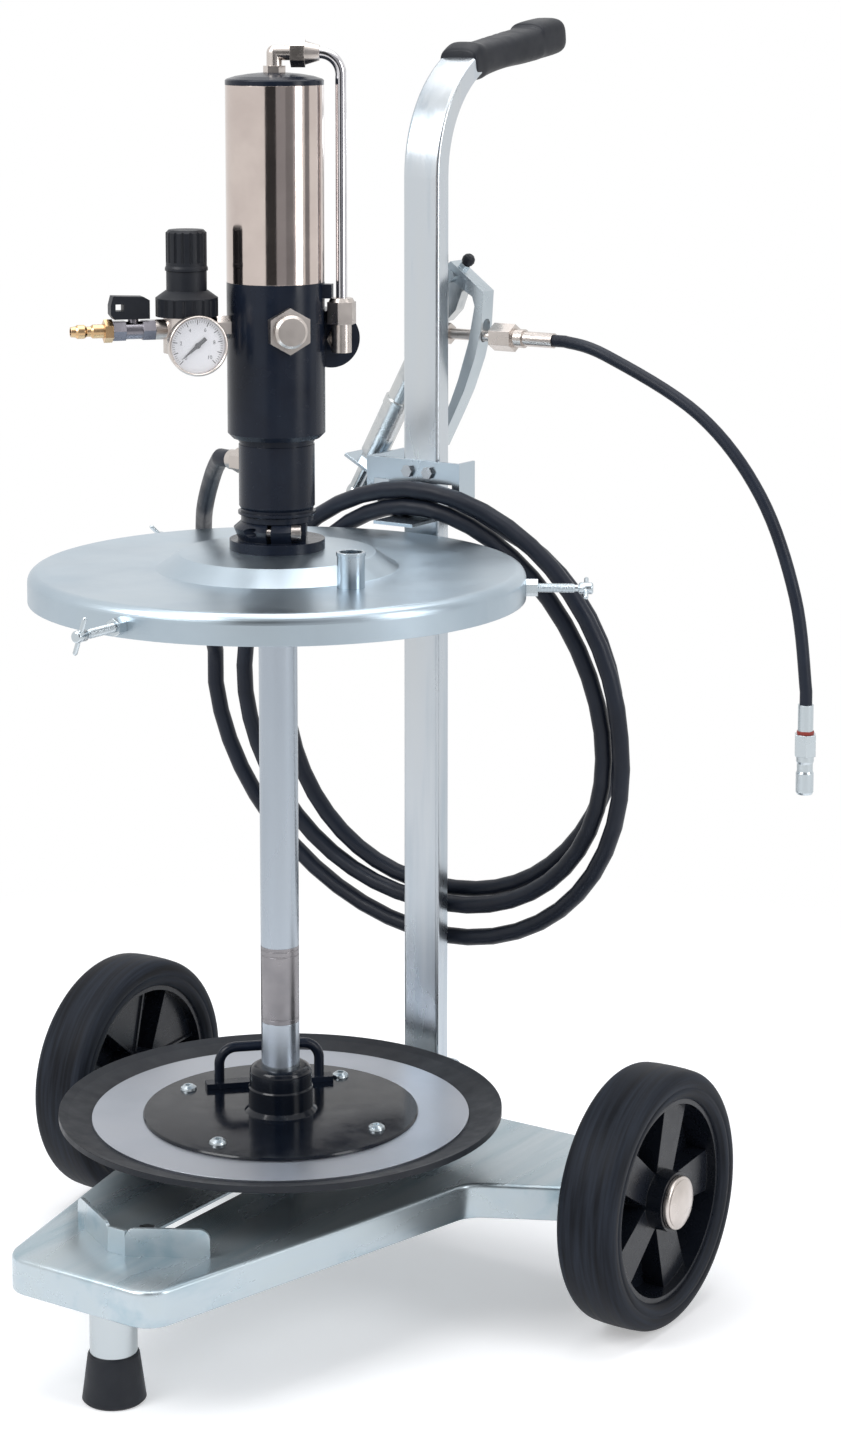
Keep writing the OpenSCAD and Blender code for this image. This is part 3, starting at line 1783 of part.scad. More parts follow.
function coil_runs(p) = [for (i = [0:len(p) - 1])
  i == 0 ? [0, 0, -1] : i >= len(p) - 2 ? [-1, 0, 0] : run_at(p, i)];
coil_across = [0, 1, 0];
module hose_coil() {
  color(rubber_black)
  frame()
    hose(coil_path, coil_runs(coil_path), coil_across, hose_d / 2, 6);
}

// Lead: from the pump's outlet over the cover's edge to the coil's start
lead_first = [outlet_face * cos(outlet_angle), outlet_face * sin(outlet_angle), outlet_z];
lead_turn = [cos(outlet_angle), sin(outlet_angle), 0];
lead_route = [
  lead_first + hose_d * lead_turn, [-118, 66, 722], [-157, 105, 686], [-198, 155, 650],
  [-230, 197, 583], coil_start + [0, 0, 2 * hose_d]
];
lead_path = concat([lead_first], smooth(lead_route, 3), [coil_start + [0, 0, hose_d]]);
function lead_runs(p) = [for (i = [0:len(p) - 1])
  i <= 1 ? lead_turn : i >= len(p) - 2 ? [0, 0, -1] : run_at(p, i)];
module hose_lead() {
  color(rubber_black)
  frame()
    hose(lead_path, lead_runs(lead_path), [0.6, 0.8, 0], hose_d / 2, 8);
}

// Whip: from the gun's outlet in a wide arc to the coupler
whip_first = [outlet_end, gun_y, outlet_line_z];
whip_last = [372, gun_y, 536];
whip_route = [
  whip_first + [whip_d, 0, 0], [170, gun_y, 826], [264, gun_y, 780], [325, gun_y, 714],
  [360, gun_y, 629], whip_last + [0, 0, whip_d]
];
whip_path = concat([whip_first], smooth(whip_route, 4), [whip_last]);
function whip_runs(p) = [for (i = [0:len(p) - 1])
  i <= 1 ? [1, 0, 0] : i >= len(p) - 2 ? [0, 0, -1] : run_at(p, i)];
module whip_hose() {
  color(rubber_black)
  frame()
    hose(whip_path, whip_runs(whip_path), [0, 1, 0], whip_d / 2, 10);
}
coupler_d = 15.5;
coupler_hex = 17.5;
coupler_ferrule = 26;
coupler_nut = 19;
coupler_body = 34;
coupler_bore = 9;
module whip_coupler() {
  length = coupler_ferrule + coupler_nut + coupler_body;
  mouth = coupler_d / 2;
  color(nickel)
  frame()
  translate([whip_last[0], whip_last[1], whip_last[2] - length])
    difference() {
      union() {
        rotate_extrude()
          polygon([
            [0, 0], [mouth * 0.86, 0], [mouth, coupler_body * 0.06],
            [mouth, coupler_body * 0.55], [mouth * 0.9, coupler_body * 0.6],
            [mouth * 0.9, coupler_body * 0.8], [mouth, coupler_body * 0.86],
            [mouth, coupler_body], [0, coupler_body]
          ]);
        translate([0, 0, coupler_body])
          hexagon(coupler_hex, coupler_nut);
        translate([0, 0, coupler_body + coupler_nut])
          cylinder(d = whip_ferrule_d, h = coupler_ferrule);
      }
      translate([0, 0, -over])
        cylinder(d = coupler_bore, h = coupler_body * 0.7 + over);
    }
}

// Least gap between different stretches of the coil, and lengths along each hose
function gaps(p, skip) = [for (i = [0:len(p) - 1], j = [i + skip:1:len(p) - 1]) norm(p[i] - p[j])];
function length_of(p) = len(p) < 2 ? 0 : lengths_sum([for (i = [0:len(p) - 2]) norm(p[i + 1] - p[i])], 0);
function lengths_sum(list, i) = i >= len(list) ? 0 : list[i] + lengths_sum(list, i + 1);
fine_coil = [for (i = [0:coil_count * 6]) coil_point(i * coil_turns / (coil_count * 6))];
echo(coil_gap = min(gaps(fine_coil, loop_rings * 3)) - hose_d);
echo(coil_length = length_of(coil_path), lead_length = length_of(lead_path));
echo(whip_length = length_of(whip_path));

tray();
axle();
foot_post();
foot_ferrule();
column();
column_plate();
handle_grip();
trolley_bolts();
hose_bracket();
tyre_right();
tyre_left();
rim_right();
rim_left();
hub_cap_right();
hub_cap_left();
drum_stop();
drum_stop_bolt();
motor_cap();
motor_cylinder();
motor_body();
valve_housing();
front_plug();
air_elbow_top();
air_tube();
air_elbow_side();
piston();
pump_body();
outlet_fitting();
suction_tube();
tube_sleeve();
bung_clamp();
clamp_screw();
drum_lid();
vent_stub();
lid_nuts();
lid_screw_front();
lid_screw_right();
lid_screw_left();
follower_seal();
follower_plate();
follower_disc();
follower_screws();
follower_handle();
regulator_body();
regulator_bonnet();
regulator_knob();
gauge_case();
gauge_dial();
gauge_needle();
ball_valve();
valve_lever();
air_nipple();
gun_body();
gun_outlet();
gun_trigger();
gun_knob();
hose_lead();
hose_coil();
whip_hose();
whip_coupler();
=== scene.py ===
"""Looks for the pneumatic grease pump on its drum trolley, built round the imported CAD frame.

Sizes are in millimetres, as in the CAD source, and MM turns them into metres. Places are
measured from the pump's axis, which is read from the frame, and from the floor.
"""
import json
import math

import bmesh
import bpy
from mathutils import Matrix, Vector


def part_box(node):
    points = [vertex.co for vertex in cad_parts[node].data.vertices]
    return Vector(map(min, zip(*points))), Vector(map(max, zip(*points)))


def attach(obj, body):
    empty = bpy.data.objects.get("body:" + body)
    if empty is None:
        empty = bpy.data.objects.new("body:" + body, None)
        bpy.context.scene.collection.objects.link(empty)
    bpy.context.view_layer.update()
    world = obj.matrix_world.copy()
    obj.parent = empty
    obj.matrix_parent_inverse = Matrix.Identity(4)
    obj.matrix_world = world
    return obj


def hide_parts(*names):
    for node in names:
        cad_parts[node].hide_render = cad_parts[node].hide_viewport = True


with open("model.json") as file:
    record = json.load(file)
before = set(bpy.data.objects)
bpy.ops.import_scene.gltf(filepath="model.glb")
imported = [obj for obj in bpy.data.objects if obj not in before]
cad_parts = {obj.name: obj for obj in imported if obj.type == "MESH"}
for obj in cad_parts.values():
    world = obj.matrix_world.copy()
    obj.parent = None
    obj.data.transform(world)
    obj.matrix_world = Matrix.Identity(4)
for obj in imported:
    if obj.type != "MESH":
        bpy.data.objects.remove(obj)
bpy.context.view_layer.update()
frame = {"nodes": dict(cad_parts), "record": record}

MM = 0.001
NODES = frame["nodes"]


def middle(node):
    """Middle of a CAD node's box."""
    low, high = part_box(node)
    return (Vector(low) + Vector(high)) / 2


AXIS = Vector((middle("motor_cylinder").x, middle("motor_cylinder").y, 0))


def pump(x, y, z):
    """A point given in millimetres from the pump's axis and the floor."""
    return AXIS + Vector((x, y, z)) * MM


def turned(angle):
    """Unit vector in plan at an angle in degrees from +X."""
    return Vector((math.cos(math.radians(angle)), math.sin(math.radians(angle)), 0))


def new_object(name, data):
    """An object in the scene."""
    made = bpy.data.objects.new(name, data)
    bpy.context.scene.collection.objects.link(made)
    return made


# Camera
IMAGE_HEIGHT = 1454
SENSOR = 36
FOCAL_PIXELS = 3208.5
CAMERA_YAW = 33.623
CAMERA_PITCH = 8.023
CAMERA_SHIFT = -0.2
CAMERA_PLACE = pump(1595.7, -2179.0, 1151.9)
CLIP_NEAR = 0.05
CLIP_FAR = 60


def make_camera():
    data = bpy.data.cameras.new("photo_camera")
    data.sensor_width = SENSOR
    data.lens = FOCAL_PIXELS / IMAGE_HEIGHT * SENSOR
    data.shift_y = CAMERA_SHIFT
    data.clip_start = CLIP_NEAR
    data.clip_end = CLIP_FAR
    camera = new_object("photo_camera", data)
    camera.location = CAMERA_PLACE
    camera.rotation_euler = (math.radians(90 - CAMERA_PITCH), 0, math.radians(CAMERA_YAW))
    bpy.context.scene.camera = camera


make_camera()


# Hoses. Their routes repeat the ones in the CAD source, in millimetres from the pump's axis.
HOSE_D = 15.5
WHIP_D = 11
HOSE_BEVEL_STEPS = 7
SPLINE_STEPS = 8
GUN_Y = 262
COIL_TURNS = 2.74
COIL_MID_Z = 487
COIL_REACH_X = [243, 206, 208, 188, 160, 183, 180]
COIL_REACH_Z = [212, 216, 212, 184, 196, 173, 184]
COIL_LEAN = 0.11
COIL_TOP_Y = 207
COIL_TOP_Z = 700
COIL_POINTS_PER_TURN = 48
# Where the last loop passes behind the ones before it: depth, first turn and turns it takes
COIL_PASS = 18
PASS_FROM = 2
PASS_TURNS = 0.3
COIL_BEHIND = 55
BEHIND_FROM = 2.35
BEHIND_TURNS = 0.35
INLET = Vector((-72, GUN_Y, 681))
OUTLET_ANGLE = 165
OUTLET_FACE = 62
OUTLET_Z = 745
LEAD_BENDS = [
    Vector((-118, 66, 722)),
    Vector((-157, 105, 686)),
    Vector((-198, 155, 650)),
    Vector((-230, 197, 583)),
]
WHIP_FIRST = Vector((116, GUN_Y, 836))
WHIP_LAST = Vector((372, GUN_Y, 536))
WHIP_BENDS = [
    Vector((170, GUN_Y, 826)),
    Vector((264, GUN_Y, 780)),
    Vector((325, GUN_Y, 714)),
    Vector((360, GUN_Y, 629)),
]


def mark(values, at):
    """A table's value between two of its marks."""
    i = min(int(at), len(values) - 2)
    t = at - i
    return values[i] * (1 - t) + values[i + 1] * t


def ease(t):
    """A smooth step from 0 to 1."""
    t = min(max(t, 0), 1)
    return t * t * (3 - 2 * t)


def coil_point(turn):
    """A point on the coil's middle line, after a number of turns."""
    angle = math.pi + math.tau * turn
    half = 2 * turn
    x = mark(COIL_REACH_X, half) * math.cos(angle)
    z = COIL_MID_Z + mark(COIL_REACH_Z, half + 0.5) * math.sin(angle)
    passed = COIL_PASS * ease((turn - PASS_FROM) / PASS_TURNS)
    behind = passed + (COIL_BEHIND - COIL_PASS) * ease((turn - BEHIND_FROM) / BEHIND_TURNS)
    return Vector((x, COIL_TOP_Y + (COIL_TOP_Z - z) * COIL_LEAN + behind, z))


def spline_points(points, steps):
    """Points on a smooth run through the given ones, which repeats the CAD source's spline."""
    found = []
    for i in range(len(points) - 1):
        a = points[max(i - 1, 0)]
        b = points[i]
        c = points[i + 1]
        d = points[min(i + 2, len(points) - 1)]
        for k in range(steps):
            t = k / steps
            found.append(
                (2 * b + (c - a) * t + (2 * a - 5 * b + 4 * c - d) * t**2
                 + (3 * b - a - 3 * c + d) * t**3) / 2
            )
    return found + [points[-1]]


def coil_route():
    """From the lead's end, round the turns and into the gun's inlet."""
    count = int(COIL_TURNS * COIL_POINTS_PER_TURN)
    turns = [coil_point(i * COIL_TURNS / count) for i in range(count + 1)]
    ends = [INLET + Vector((HOSE_D, 0, 0)), INLET]
    return [coil_point(0) + Vector((0, 0, HOSE_D))] + turns + ends


def lead_route():
    """From the pump's outlet to the coil."""
    out = turned(OUTLET_ANGLE)
    first = out * OUTLET_FACE + Vector((0, 0, OUTLET_Z))
    start = coil_point(0)
    bends = [first + out * HOSE_D] + LEAD_BENDS + [start + Vector((0, 0, 2 * HOSE_D))]
    return [first] + spline_points(bends, SPLINE_STEPS) + [start + Vector((0, 0, HOSE_D))]


def whip_route():
    """From the gun's outlet to the coupler."""
    first = WHIP_FIRST + Vector((WHIP_D, 0, 0))
    last = WHIP_LAST + Vector((0, 0, WHIP_D))
    bends = [first] + WHIP_BENDS + [last]
    return [WHIP_FIRST] + spline_points(bends, SPLINE_STEPS) + [WHIP_LAST]


def hose_piece(name, route, diameter):
    """A round tube along a route, swept by a curve of one open spline and kept as a mesh."""
    data = bpy.data.curves.new(name, "CURVE")
    data.dimensions = "3D"
    data.bevel_depth = diameter * MM / 2
    data.bevel_resolution = HOSE_BEVEL_STEPS
    data.use_fill_caps = True
    spline = data.splines.new("POLY")
    spline.points.add(len(route) - 1)
    for point, place in zip(spline.points, route):
        point.co = (*pump(*place), 1)
    spline.use_smooth = True
    line = bpy.data.objects.new(name + "_line", data)
    piece = new_object(name, bpy.data.meshes.new_from_object(line))
    bpy.data.objects.remove(line)
    return piece


def make_hose(node, route, diameter):
    piece = hose_piece(node + "_tube", route, diameter)
    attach(piece, "trolley")
    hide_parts(node)
    return piece


hose_pieces = [
    make_hose("hose_lead", lead_route(), HOSE_D),
    make_hose("hose_coil", coil_route(), HOSE_D),
    make_hose(
        "whip_hose", whip_route(), WHIP_D
    ),
]


# Materials. Lengths in them are metres, and noise scales are patches per metre.
NOISE_ROUGHNESS = 0.55
# The middle part of a noise, which is spread over a range of roughness
NOISE_LOW = 0.3
NOISE_HIGH = 0.7
BEVEL_SAMPLES = 4


def new_material(name):
    made = bpy.data.materials.new(name)
    made.use_nodes = True
    return made


class Shader:
    """Short calls that add nodes to one material."""

    def __init__(self, name):
        self.material = new_material(name)
        self.tree = self.material.node_tree
        self.bsdf = self.tree.nodes["Principled BSDF"]
        self.coordinates = self.node("TexCoord").outputs["Object"]

    def node(self, kind):
        return self.tree.nodes.new("ShaderNode" + kind)

    def link(self, output, target):
        self.tree.links.new(output, target)

    def set(self, socket, value):
        self.bsdf.inputs[socket].default_value = value

    def noise(self, scale, detail, stretch=(1, 1, 1)):
        mapping = self.node("Mapping")
        mapping.inputs["Scale"].default_value = stretch
        self.link(self.coordinates, mapping.inputs["Vector"])
        noise = self.node("TexNoise")
        noise.inputs["Scale"].default_value = scale
        noise.inputs["Detail"].default_value = detail
        noise.inputs["Roughness"].default_value = NOISE_ROUGHNESS
        self.link(mapping.outputs["Vector"], noise.inputs["Vector"])
        return noise.outputs["Fac"]

    def vector_maths(self, operation, source, constant=None):
        """A vector maths node fed by a socket and, where there is one, a constant."""
        maths_node = self.node("VectorMath")
        maths_node.operation = operation
        self.link(source, maths_node.inputs[0])
        if constant is not None:
            maths_node.inputs[1].default_value = constant
        return maths_node

    def colour(self, factor, stops):
        """Colours the surface by a factor, with (place, colour) stops."""
        ramp = self.node("ValToRGB")
        elements = ramp.color_ramp.elements
        made = len(elements)
        for i, (place, colour) in enumerate(stops):
            element = elements[i] if i < made else elements.new(place)
            element.position = place
            element.color = (*colour, 1)
        self.link(factor, ramp.inputs["Fac"])
        self.link(ramp.outputs["Color"], self.bsdf.inputs["Base Color"])

    def roughness(self, factor, low, high):
        """Maps a factor's middle range onto a roughness from low to high."""
        spread = self.node("MapRange")
        spread.inputs["From Min"].default_value = NOISE_LOW
        spread.inputs["From Max"].default_value = NOISE_HIGH
        spread.inputs["To Min"].default_value = low
        spread.inputs["To Max"].default_value = high
        self.link(factor, spread.inputs["Value"])
        self.link(spread.outputs["Result"], self.bsdf.inputs["Roughness"])

    def relief(self, heights, rounding=0):
        """Chains (height, depth in metres) bumps on top of a rounding of sharp edges."""
        normal = None
        if rounding:
            bevel = self.node("Bevel")
            bevel.samples = BEVEL_SAMPLES
            bevel.inputs["Radius"].default_value = rounding
            normal = bevel.outputs["Normal"]
        for height, depth in heights:
            bump = self.node("Bump")
            bump.inputs["Strength"].default_value = 1
            bump.inputs["Distance"].default_value = depth
            self.link(height, bump.inputs["Height"])
            if normal:
                self.link(normal, bump.inputs["Normal"])
            normal = bump.outputs["Normal"]
        self.link(normal, self.bsdf.inputs["Normal"])


# Scale and detail of each noise
ZINC_SHEEN = (16, 6)
ZINC_LINES = (420, 3)
ZINC_GRAIN = (1500, 2)
METAL_TINT = (30, 3)
METAL_SHEEN = (55, 4)
METAL_LINES = (700, 3)
COAT_TINT = (26, 4)
COAT_SHEEN = (70, 5)
TYRE_GRAIN = (700, 2)
CLOUD_DETAIL = 5
PEEL_DETAIL = 2
# Least stretch that clouds, for a scale of 1, and sheen keep along a drawn surface
CLOUD_LEAST = 1.75
SHEEN_LEAST = 0.25
WARM_TINT = (1.03, 1.01, 0.98)
LINE_DEPTH = 0.000012
ZINC_GRAIN_DEPTH = 0.000005
ZINC_ROUNDING = 0.0006
METAL_ROUNDING = 0.0004
# Noise stretched along an axis of the scene
ALONG_Z = (1, 1, 0.03)
ALONG_Y = (1, 0.03, 1)


def zinc(name, light, dark, rough=(0.2, 0.32), stretch=(1, 1, 1), clouds=7, metal=1.0):
    """Bright zinc plating: cloudy tint, fine drawing lines and a soft sheen."""
    s = Shader(name)
    s.set("Metallic", metal)
    cloud = s.noise(clouds, CLOUD_DETAIL, [max(CLOUD_LEAST / clouds, side) for side in stretch])
    warm = [part * tint for part, tint in zip(light, WARM_TINT)]
    s.colour(cloud, [(0.25, dark), (0.5, light), (0.75, warm)])
    sheen = s.noise(*ZINC_SHEEN, [max(SHEEN_LEAST, side) for side in stretch])
    s.roughness(sheen, *rough)
    lines = s.noise(*ZINC_LINES, stretch)
    grain = s.noise(*ZINC_GRAIN)
    s.relief([(lines, LINE_DEPTH), (grain, ZINC_GRAIN_DEPTH)], ZINC_ROUNDING)
    return s.material


def bright_metal(name, light, dark, rough, stretch=(1, 1, 1)):
    """Smooth metal: a faint tint, a slightly uneven sheen and fine lines."""
    s = Shader(name)
    s.set("Metallic", 1.0)
    s.colour(s.noise(*METAL_TINT), [(0.3, dark), (0.65, light)])
    s.roughness(s.noise(*METAL_SHEEN), *rough)
    s.relief([(s.noise(*METAL_LINES, stretch), LINE_DEPTH)], METAL_ROUNDING)
    return s.material


def coated(name, light, dark, rough, peel=420, depth=0.00002, gloss=0.25, rounding=0.0007):
    """Paint or moulded plastic: faint mottling and an orange-peel or grained skin."""
    s = Shader(name)
    s.set("Metallic", 0.0)
    s.set("Specular IOR Level", gloss)
    s.colour(s.noise(*COAT_TINT), [(0.3, dark), (0.7, light)])
    s.roughness(s.noise(*COAT_SHEEN), *rough)
    s.relief([(s.noise(peel, PEEL_DETAIL), depth)], rounding)
    return s.material


TYRE_D = 226
AXLE_BACK = 144.5
TYRE_LIGHT = (0.022, 0.027, 0.038)
TYRE_DARK = (0.003, 0.004, 0.007)
TYRE_GLOSS = 0.14
TYRE_ROUGH = (0.46, 0.66)
TYRE_GRAIN_DEPTH = 0.00003
TYRE_ROUNDING = 0.001
SCUFF_SCALE = 230
SCUFF_DETAIL = 4
SCUFF_WAVER = 0.06
SCUFF_DEPTH = 0.00018
GLASS_ROUGHNESS = 0.04
GLASS_ALPHA = 0.1


def wheel_rubber():
    """Tyre rubber, scuffed in rings about the axle, which both wheels share."""
    s = Shader("tyre_rubber")
    s.set("Metallic", 0.0)
    s.set("Specular IOR Level", TYRE_GLOSS)
    axle = pump(0, AXLE_BACK, TYRE_D / 2)
    from_axle = s.vector_maths("SUBTRACT", s.coordinates, axle).outputs[0]
    flat = s.vector_maths("MULTIPLY", from_axle, (0, 1, 1)).outputs[0]
    radius = s.vector_maths("LENGTH", flat).outputs["Value"]
    split = s.node("SeparateXYZ")
    s.link(from_axle, split.inputs[0])
    rings = s.node("CombineXYZ")
    s.link(radius, rings.inputs["X"])
    s.link(split.outputs["X"], rings.inputs["Y"])
    wavy = s.vector_maths("MULTIPLY_ADD", from_axle, (SCUFF_WAVER, SCUFF_WAVER, SCUFF_WAVER))
    s.link(rings.outputs[0], wavy.inputs[2])
    noise = s.node("TexNoise")
    noise.inputs["Scale"].default_value = SCUFF_SCALE
    noise.inputs["Detail"].default_value = SCUFF_DETAIL
    s.link(wavy.outputs[0], noise.inputs["Vector"])
    scuff = noise.outputs["Fac"]
    s.colour(scuff, [(0.35, TYRE_DARK), (0.7, TYRE_LIGHT)])
    s.roughness(scuff, *TYRE_ROUGH)
    grain = s.noise(*TYRE_GRAIN)
    s.relief([(scuff, SCUFF_DEPTH), (grain, TYRE_GRAIN_DEPTH)], TYRE_ROUNDING)
    return s.material


def clear_glass():
    """A thin clear front: mostly let through, with a faint gloss."""
    s = Shader("gauge_glass")
    s.set("Metallic", 0.0)
    s.set("Roughness", GLASS_ROUGHNESS)
    s.set("Alpha", GLASS_ALPHA)
    s.set("Base Color", (1, 1, 1, 1))
    return s.material


# Each metal is given by its light and its dark colour and its range of roughness
MATERIALS = {
    "zinc": zinc("zinc_sheet", (0.46, 0.53, 0.59), (0.38, 0.45, 0.51)),
    "lid": zinc("zinc_cover", (0.45, 0.53, 0.595), (0.37, 0.45, 0.52), (0.28, 0.38)),
    "tray": zinc(
        "zinc_tray", (0.47, 0.54, 0.58), (0.30, 0.42, 0.48), (0.2, 0.34), ALONG_Y, 34, 0.7
    ),
    "column": zinc(
        "zinc_tube", (0.56, 0.60, 0.64), (0.35, 0.43, 0.50), (0.18, 0.38), ALONG_Z, 26
    ),
    "post": zinc("zinc_post", (0.47, 0.51, 0.53), (0.40, 0.44, 0.46), (0.2, 0.32), ALONG_Z),
    "ring": zinc("zinc_ring", (0.50, 0.53, 0.59), (0.42, 0.46, 0.52), (0.3, 0.38)),
    "zinc_small": zinc("zinc_small", (0.54, 0.60, 0.64), (0.42, 0.48, 0.52), (0.2, 0.35)),
    "gun_zinc": zinc(
        "gun_zinc", (0.55, 0.57, 0.58), (0.27, 0.31, 0.34), (0.16, 0.3), clouds=28
    ),
    "suction": zinc(
        "suction_steel", (0.42, 0.47, 0.53), (0.35, 0.40, 0.46), (0.2, 0.3), ALONG_Z
    ),
    "sleeve": bright_metal(
        "sleeve_steel", (0.30, 0.29, 0.305), (0.23, 0.225, 0.24), (0.24, 0.36)
    ),
    "bolt": bright_metal("bolt_steel", (0.50, 0.52, 0.54), (0.36, 0.38, 0.41), (0.25, 0.4)),
    "nickel": bright_metal("nickel", (0.64, 0.585, 0.55), (0.50, 0.46, 0.43), (0.24, 0.34)),
    "chrome": bright_metal("chrome", (0.70, 0.69, 0.71), (0.58, 0.57, 0.60), (0.05, 0.12)),
    "stainless": bright_metal(
        "stainless", (0.61, 0.53, 0.49), (0.55, 0.475, 0.44), (0.07, 0.13), ALONG_Z
    ),
    "valve": bright_metal(
        "valve_nickel", (0.26, 0.25, 0.28), (0.16, 0.155, 0.18), (0.2, 0.32)
    ),
    "brass": bright_metal("brass", (0.70, 0.47, 0.26), (0.54, 0.36, 0.19), (0.16, 0.28)),
    "enamel": coated(
        "black_enamel", (0.010, 0.015, 0.027), (0.007, 0.010, 0.019), (0.18, 0.3), gloss=0.22
    ),
    "plastic": coated(
        "black_plastic", (0.013, 0.015, 0.021), (0.008, 0.010, 0.014), (0.38, 0.52), 900
    ),
    "disc": coated(
        "disc_enamel", (0.006, 0.009, 0.016), (0.004, 0.006, 0.011), (0.1, 0.2), gloss=0.3
    ),
    "rim": coated(
        "rim_plastic", (0.009, 0.011, 0.017), (0.006, 0.008, 0.012), (0.22, 0.34),
        500, 0.000008, 0.34
    ),
    "seal_red": coated(
        "seal_red", (0.30, 0.05, 0.035), (0.22, 0.03, 0.025), (0.35, 0.5), gloss=0.3
    ),
    "glass": clear_glass(),
    "dial": coated(
        "dial_white", (0.84, 0.83, 0.86), (0.79, 0.79, 0.82), (0.3, 0.4), 300, 0.000004
    ),
    "ink": coated(
        "dial_ink", (0.02, 0.02, 0.03), (0.012, 0.012, 0.018), (0.4, 0.5), 300, 0.000004
    ),
    "tyre": wheel_rubber(),
    "rubber": coated(
        "soft_rubber", (0.020, 0.023, 0.029), (0.012, 0.014, 0.019), (0.42, 0.58),
        500, 0.00003
    ),
    "hose": coated(
        "hose_rubber", (0.012, 0.017, 0.029), (0.008, 0.011, 0.020), (0.34, 0.48),
        900, 0.00004, rounding=0
    ),
}
# Material of each slot in the record
BY_SLOT = {
    "zinc": "zinc",
    "zinc_small": "zinc_small",
    "gun_zinc": "gun_zinc",
    "suction_steel": "suction",
    "sleeve_steel": "sleeve",
    "bolt_steel": "bolt",
    "nickel": "nickel",
    "air_tube_chrome": "chrome",
    "stainless": "stainless",
    "valve_dark": "valve",
    "brass": "brass",
    "black_enamel": "enamel",
    "black_plastic": "plastic",
    "needle_black": "ink",
    "dial_white": "dial",
    "tyre_rubber": "tyre",
    "soft_rubber": "rubber",
    "hose_rubber": "hose",
}
# Material of the nodes whose look differs from their slot's
OWN_PAINT = {
    "column": "column",
    "foot_post": "post",
    "drum_stop": "tray",
    "drum_lid": "lid",
    "follower_plate": "ring",
    "follower_disc": "disc",
    "whip_coupler": "zinc_small",
    "rim_right": "rim",
    "rim_left": "rim",
}


def paint(piece, name):
    slots = piece.data.materials
    slots.clear()
    slots.append(MATERIALS[name])


def paint_nodes():
    """Gives each CAD node its own paint, or else the material of its slot in the record."""
    slots = {row["node"]: row["material_slot"] for row in frame["record"]["subparts"]}
    for node, piece in NODES.items():
        paint(piece, BY_SLOT[slots[node]])
    for node, name in OWN_PAINT.items():
        paint(NODES[node], name)
    for piece in hose_pieces:
        paint(piece, "hose")


paint_nodes()


# Pieces built here, finer than the solids they stand for
WELD = 0.000002


def sealed_mesh(name, bm, body, paint_name, replaced=(), sharp=35):
    """Turns a bmesh into a piece that rides on a body and may stand for CAD nodes."""
    bmesh.ops.remove_doubles(bm, verts=bm.verts, dist=WELD)
    bmesh.ops.recalc_face_normals(bm, faces=bm.faces)
    data = bpy.data.meshes.new(name)
    bm.to_mesh(data)
    bm.free()
    data.shade_smooth()
    data.set_sharp_from_angle(angle=math.radians(sharp))
    piece = new_object(name, data)
    paint(piece, paint_name)
    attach(piece, body)
    if replaced:
        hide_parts(*replaced)
    return piece


def add_skin(bm, rings):
    """Faces that join closed rings of equal count, each to the next."""
    for low, high in zip(rings, rings[1:]):
        for k in range(len(low)):
            following = (k + 1) % len(low)
            bm.faces.new([low[k], low[following], high[following], high[k]])


def add_lathe(bm, profile, place, segments=96):
    """Turns a profile of (radius, height) points in millimetres round the local Z of a matrix."""
    rings = []
    for radius, height in profile:
        if radius == 0:
            rings.append([bm.verts.new(place @ Vector((0, 0, height * MM)))])
            continue
        ring = []
        for k in range(segments):
            angle = math.tau * k / segments
            point = Vector((radius * math.cos(angle), radius * math.sin(angle), height)) * MM
            ring.append(bm.verts.new(place @ point))
        rings.append(ring)
    for low, high in zip(rings, rings[1:]):
        for k in range(segments):
            following = (k + 1) % segments
            corners = [
                low[k % len(low)],
                low[following % len(low)],
                high[following % len(high)],
                high[k % len(high)],
            ]
            unique = list(dict.fromkeys(corners))
            if len(unique) > 2:
                bm.faces.new(unique)


def arc_points(centre, radius, start, end, steps=8):
    """Points on an arc in a profile's plane."""
    found = []
    for i in range(steps + 1):
        angle = math.radians(start + (end - start) * i / steps)
        found.append((centre[0] + radius * math.cos(angle), centre[1] + radius * math.sin(angle)))
    return found


def facing(direction, place):
    """A matrix at a place whose Z looks along a direction."""
    return Matrix.Translation(place) @ direction.to_track_quat("Z", "Y").to_matrix().to_4x4()


# Tray: its outline repeats the CAD source's, with a rounded fold between top and skirt
TRAY_TOP = 122.5
TRAY_SHEET = 2.5
TRAY_SKIRT = 30.5
TRAY_FRONT = 281
TRAY_REAR = 217.5
WING_HALF = 250
FLARE = 13.2
SWEEP = 27.5
FRONT_R = 26
KNEE_R = 30
WING_R = 14
REAR_R = 10
SIDE_OFFSET = 138
WING_OFFSET = 17.7
FOLD_R = 4
FOLD_STEPS = 6
INNER_STEPS = 4
EDGE_BEVEL = 0.6
SLOT_W = 11
SLOT_FRONT = -215
SLOT_BACK = -40


def crossing(n1, d1, n2, d2):
    """Where two lines cross, each given by its normal and offset."""
    across = n1[0] * n2[1] - n1[1] * n2[0]
    return ((d1 * n2[1] - d2 * n1[1]) / across, (n1[0] * d2 - n2[0] * d1) / across)


